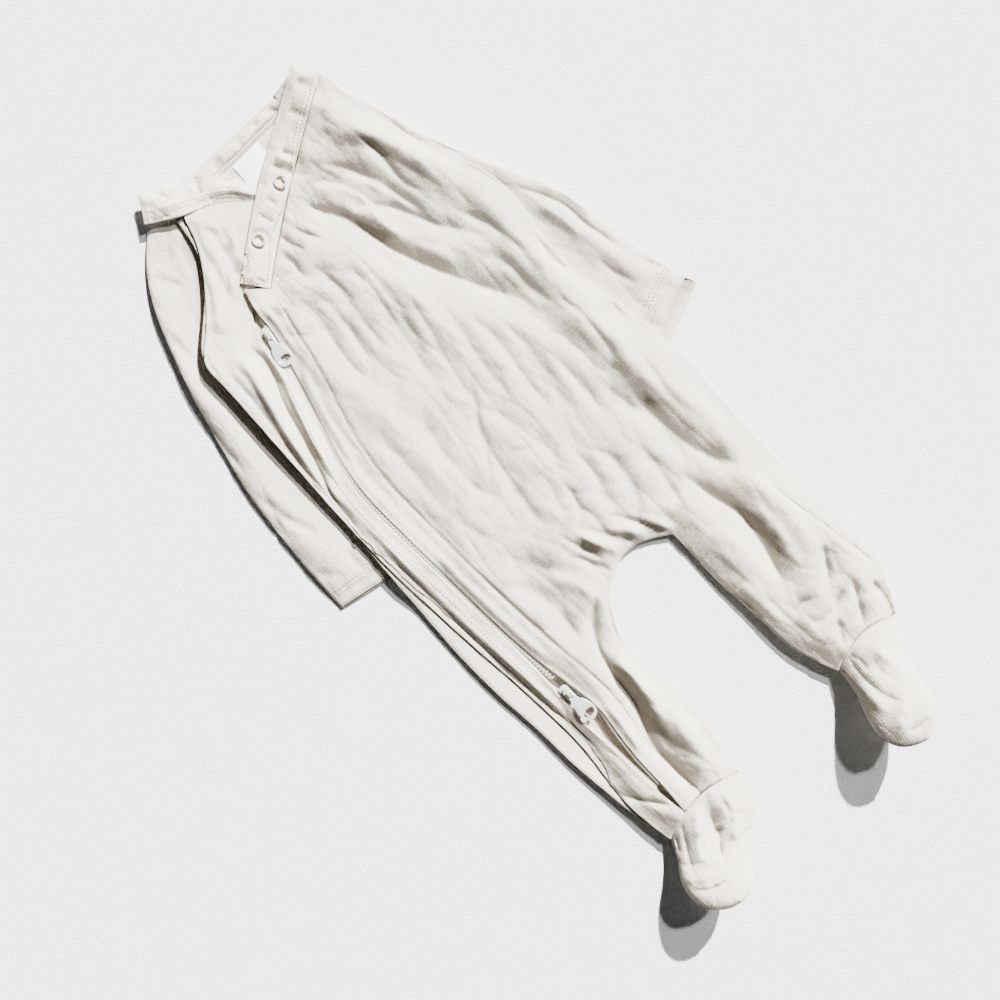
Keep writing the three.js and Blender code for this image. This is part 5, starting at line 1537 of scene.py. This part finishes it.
@dataclass
class Suit:
    """The whole suit, laid down from the table up.

    Attributes:
        finishes: its materials.
        surfaces: the cloth laid down so far.
        pieces: every object made, by name.
    """

    finishes: Finishes
    surfaces: Surfaces = field(default_factory=Surfaces)
    pieces: dict[str, bpy.types.Object] = field(default_factory=dict)

    def cloth(self) -> None:
        """Lays the panels and bands in the order in which they lie."""
        f = self.finishes
        sleeves = ("sleeve_left_cloth", "sleeve_right_cloth")
        below = (*sleeves, "back_cloth")
        tapes = ("zip_tape_left", "zip_tape_right")
        foot = {"levels": 3, "ripple": 0.4, "layer": Layer.CUP}
        tube = {"rim_longest": 0.014, "layer": Layer.TUBE, "puff": 0.6, "ripple": 0.5}
        band = {"thick": 2.4, "ripple": 0.3, "puff": 1.0, "shoulder": 5.0}
        first = [
            ClothPiece(
                "sleeve_left_cloth", "sleeve_left", f.sleeve_left, "cloth", (0.10, 0.28), 0.0185,
                SLEEVE_LEFT_FOLDS, **tube,
            ),
            ClothPiece(
                "sleeve_right_cloth", "sleeve_right", f.sleeve_right, "cloth", (0.10, 0.28), 0.0235,
                SLEEVE_RIGHT_FOLDS, **tube,
            ),
            ClothPiece(
                "back_cloth", "back", f.cloth, "cloth", (0.235, 0.50), 0.092, BACK_FOLDS, sleeves,
                levels=2, clearance=0.12, ripple=0.35,
            ),
            ClothPiece(
                "neckband_back_cloth", "neckband_back", f.band, "rib", (0.135, 0.024), 0.0020,
                BAND_BACK_FOLDS, below, **band,
            ),
            ClothPiece(
                "neckband_underlap_cloth", "neckband_underlap", f.band, "rib", (0.10, 0.02), 0.0015,
                BAND_UNDER_FOLDS, (*below, "neckband_back_cloth"), **band,
            ),
        ]
        for piece in first:
            self.lay(piece)
        for side in ("left", "right"):
            node = f"zip_tape_{side}"
            tape = SolidCopy(f"{node}_cloth", node, "suit", f.tape, "zip_tape", 0.0)
            self.pieces[tape.name] = tape.build(self.surfaces)
            self.surfaces.trees[node] = self.surfaces.trees[tape.name]
        last = [
            ClothPiece(
                "foot_left_sole_cloth", "foot_left_sole", f.foot, "cloth", (0.06, 0.075), 0.0034,
                SOLE_FOLDS, **foot,
            ),
            ClothPiece(
                "foot_right_sole_cloth", "foot_right_sole", f.foot, "cloth", (0.07, 0.075), 0.0036,
                SOLE_FOLDS, **foot,
            ),
            ClothPiece(
                "foot_left_upper_cloth", "foot_left_upper", f.foot, "cloth", (0.06, 0.08), 0.0036,
                FOOT_LEFT_FOLDS, **foot,
            ),
            ClothPiece(
                "foot_right_upper_cloth", "foot_right_upper", f.foot, "cloth", (0.07, 0.08), 0.0038,
                FOOT_RIGHT_FOLDS, **foot,
            ),
            ClothPiece(
                "front_right_cloth", "front_right", f.cloth, "cloth", (0.075, 0.49), 0.0138,
                FRONT_FOLDS + RIGHT_FRONT_FOLDS, (*below, *tapes), puff=1.6, ripple=0.55,
            ),
            ClothPiece(
                "front_left_cloth", "front_left", f.cloth, "cloth", (0.20, 0.49), 0.076,
                FRONT_FOLDS + FLAP_FOLDS,
                (*below, *tapes, "front_right_cloth", "neckband_underlap_cloth"), puff=2.4, ripple=0.65,
                rim_segments=1,
            ),
            ClothPiece(
                "neckband_overlap_cloth", "neckband_overlap", f.band_over, "rib", (0.145, 0.021),
                0.0028, BAND_OVER_FOLDS,
                (*below, "neckband_back_cloth", "neckband_underlap_cloth", "front_right_cloth"), **band,
            ),
        ]
        for piece in last:
            self.lay(piece)

    def lay(self, piece: ClothPiece) -> None:
        """Makes a cloth piece and keeps it.

        Args:
            piece: the piece.
        """
        made = piece.build(self.surfaces)
        self.pieces[piece.name] = made

    def trims(self) -> None:
        """Adds the zip, the snaps, the label and all the stitches."""
        f = self.finishes
        hard = [
            SolidCopy("slider_upper_metal", "slider_upper", "suit", f.metal, "zip_metal", 0.16),
            SolidCopy("slider_lower_metal", "slider_lower", "suit", f.metal, "zip_metal", 0.16),
            SolidCopy("pull_upper_metal", "pull_upper", "upper_pull", f.metal, "zip_metal", 0.2),
            SolidCopy("pull_lower_metal", "pull_lower", "lower_pull", f.metal, "zip_metal", 0.2),
            SolidCopy("snap_upper_ring", "snap_upper", "suit", f.snap, "zip_metal", 0.12),
            SolidCopy("snap_lower_ring", "snap_lower", "suit", f.snap, "zip_metal", 0.12),
            SolidCopy("label_cloth", "label", "suit", f.label, "label", 0.1),
        ]
        for piece in hard:
            self.pieces[piece.name] = piece.build(self.surfaces)
        coil = ZipCoil(f.coil)
        self.pieces["zip_coil"] = coil.build(self.surfaces)
        stitched = {
            "neck_stitches": NECK_STITCHES,
            "panel_stitches": PANEL_STITCHES,
            "sleeve_stitches": SLEEVE_STITCHES,
        }
        for name, rows in stitched.items():
            self.pieces[name] = Stitching(name, rows, f.thread).build(self.surfaces)


@dataclass
class Studio:
    """The floor, the lights and the camera of the photograph.

    Attributes:
        weave: the node group that gives the board its canvas grain.
        height: the camera's height over the table, in metres.
        width: the metres of table that the frame's side shows.
        over: the point that the camera looks down on, in chest millimetres.
    """

    weave: bpy.types.NodeTree
    height: float = 1.008
    width: float = 0.620
    over: tuple[float, float] = (-6.6, 11.0)

    def camera(self) -> None:
        """Hangs the camera over the suit, turned as the photograph is."""
        lens = bpy.data.cameras.new("camera")
        lens.sensor_width = 36.0
        lens.lens = 36.0 * (self.height - 0.008) / self.width
        lens.clip_start, lens.clip_end = 0.01, 20.0
        camera = bpy.data.objects.new("camera", lens)
        bpy.context.scene.collection.objects.link(camera)
        place = spot(*self.over)
        camera.location = (place.x, place.y, self.height)
        camera.rotation_euler = (0.0, 0.0, math.radians(-45))
        bpy.context.scene.camera = camera

    def floor(self) -> None:
        """Spreads a pale board with a fine canvas grain under the suit."""
        form = bmesh.new()
        bmesh.ops.create_grid(form, x_segments=2, y_segments=2, size=3.0)
        bmesh.ops.translate(form, verts=form.verts, vec=(0, 0, -0.0002))
        mesh = bpy.data.meshes.new("floor")
        form.to_mesh(mesh)
        form.free()
        floor = bpy.data.objects.new("floor", mesh)
        bpy.context.scene.collection.objects.link(floor)
        made = bpy.data.materials.new("floor_board")
        made.use_nodes = True
        w = Wiring(made.node_tree)
        shader = made.node_tree.nodes["Principled BSDF"]
        place = w.add("ShaderNodeTexCoord").outputs["Object"]
        grain = w.add(
            "ShaderNodeTexNoise", {"Vector": place, "Scale": 520.0, "Detail": 4.0, "Roughness": 0.8}
        )
        eighth_turn = (0.0, 0.0, math.radians(45))
        squared = w.add("ShaderNodeMapping", {"Vector": place, "Rotation": eighth_turn})
        threads = {"Vector": squared.outputs[0], "Threads": 620.0}
        weave = w.add("ShaderNodeGroup", threads, node_tree=self.weave)
        woven = w.maths("MULTIPLY_ADD", weave.outputs["Height"], 0.3, -0.45)
        share = w.add("ShaderNodeClamp", {0: w.maths("MULTIPLY_ADD", grain.outputs[0], 1.6, woven)})
        tone = w.mix(share.outputs[0], (0.80, 0.82, 0.84, 1), (0.95, 0.96, 0.97, 1))
        made.node_tree.links.new(tone, shader.inputs["Base Color"])
        bump = w.add("ShaderNodeBump", {"Strength": 1.0, "Distance": 0.0014, "Height": grain.outputs[0]})
        made.node_tree.links.new(bump.outputs[0], shader.inputs["Normal"])
        shader.inputs["Roughness"].default_value = 0.85
        mesh.materials.append(made)

    def lamp(
        self, name: str, heading: float, height: float, power: float, spread: float,
        colour: tuple[float, float, float],
    ) -> None:
        """Adds a distant lamp.

        Args:
            name: the lamp's name.
            heading: degrees from +X that its light comes from.
            height: degrees over the table.
            power: its strength.
            spread: degrees that it covers in the sky, which softens its shadows.
            colour: its colour.
        """
        light = bpy.data.lights.new(name, "SUN")
        light.energy, light.angle, light.color = power, math.radians(spread), colour
        lamp = bpy.data.objects.new(name, light)
        bpy.context.scene.collection.objects.link(lamp)
        a, e = math.radians(heading), math.radians(height)
        source = Vector((math.cos(a) * math.cos(e), math.sin(a) * math.cos(e), math.sin(e)))
        lamp.rotation_mode = "QUATERNION"
        lamp.rotation_quaternion = source.to_track_quat("Z", "Y")

    def lights(self) -> None:
        """Lights the suit from the wearer's left, and softly from above."""
        self.lamp("key", 18.0, 40.0, 26.0, 1.4, (1.0, 0.985, 0.96))
        self.lamp("second", 1.0, 52.0, 2.4, 3.0, (1.0, 0.98, 0.95))
        world = bpy.data.worlds.new("room")
        world.use_nodes = True
        background = world.node_tree.nodes["Background"]
        background.inputs["Color"].default_value = (0.95, 0.97, 1.0, 1)
        background.inputs["Strength"].default_value = 0.06
        bpy.context.scene.world = world

    def build(self) -> None:
        """Sets the camera, the floor and the lights."""
        self.camera()
        self.floor()
        self.lights()


def main() -> None:
    """Builds the studio and the suit, in order."""
    logging.basicConfig(level=logging.INFO, format="%(name)s: %(message)s")
    noise.seed_set(NOISE_SEED)
    weave = weave_group()
    Studio(weave).build()
    suit = Suit(Finishes(weave))
    suit.cloth()
    suit.trims()
    LOG.info("%d pieces", len(suit.pieces))


if __name__ == "__main__":
    main()
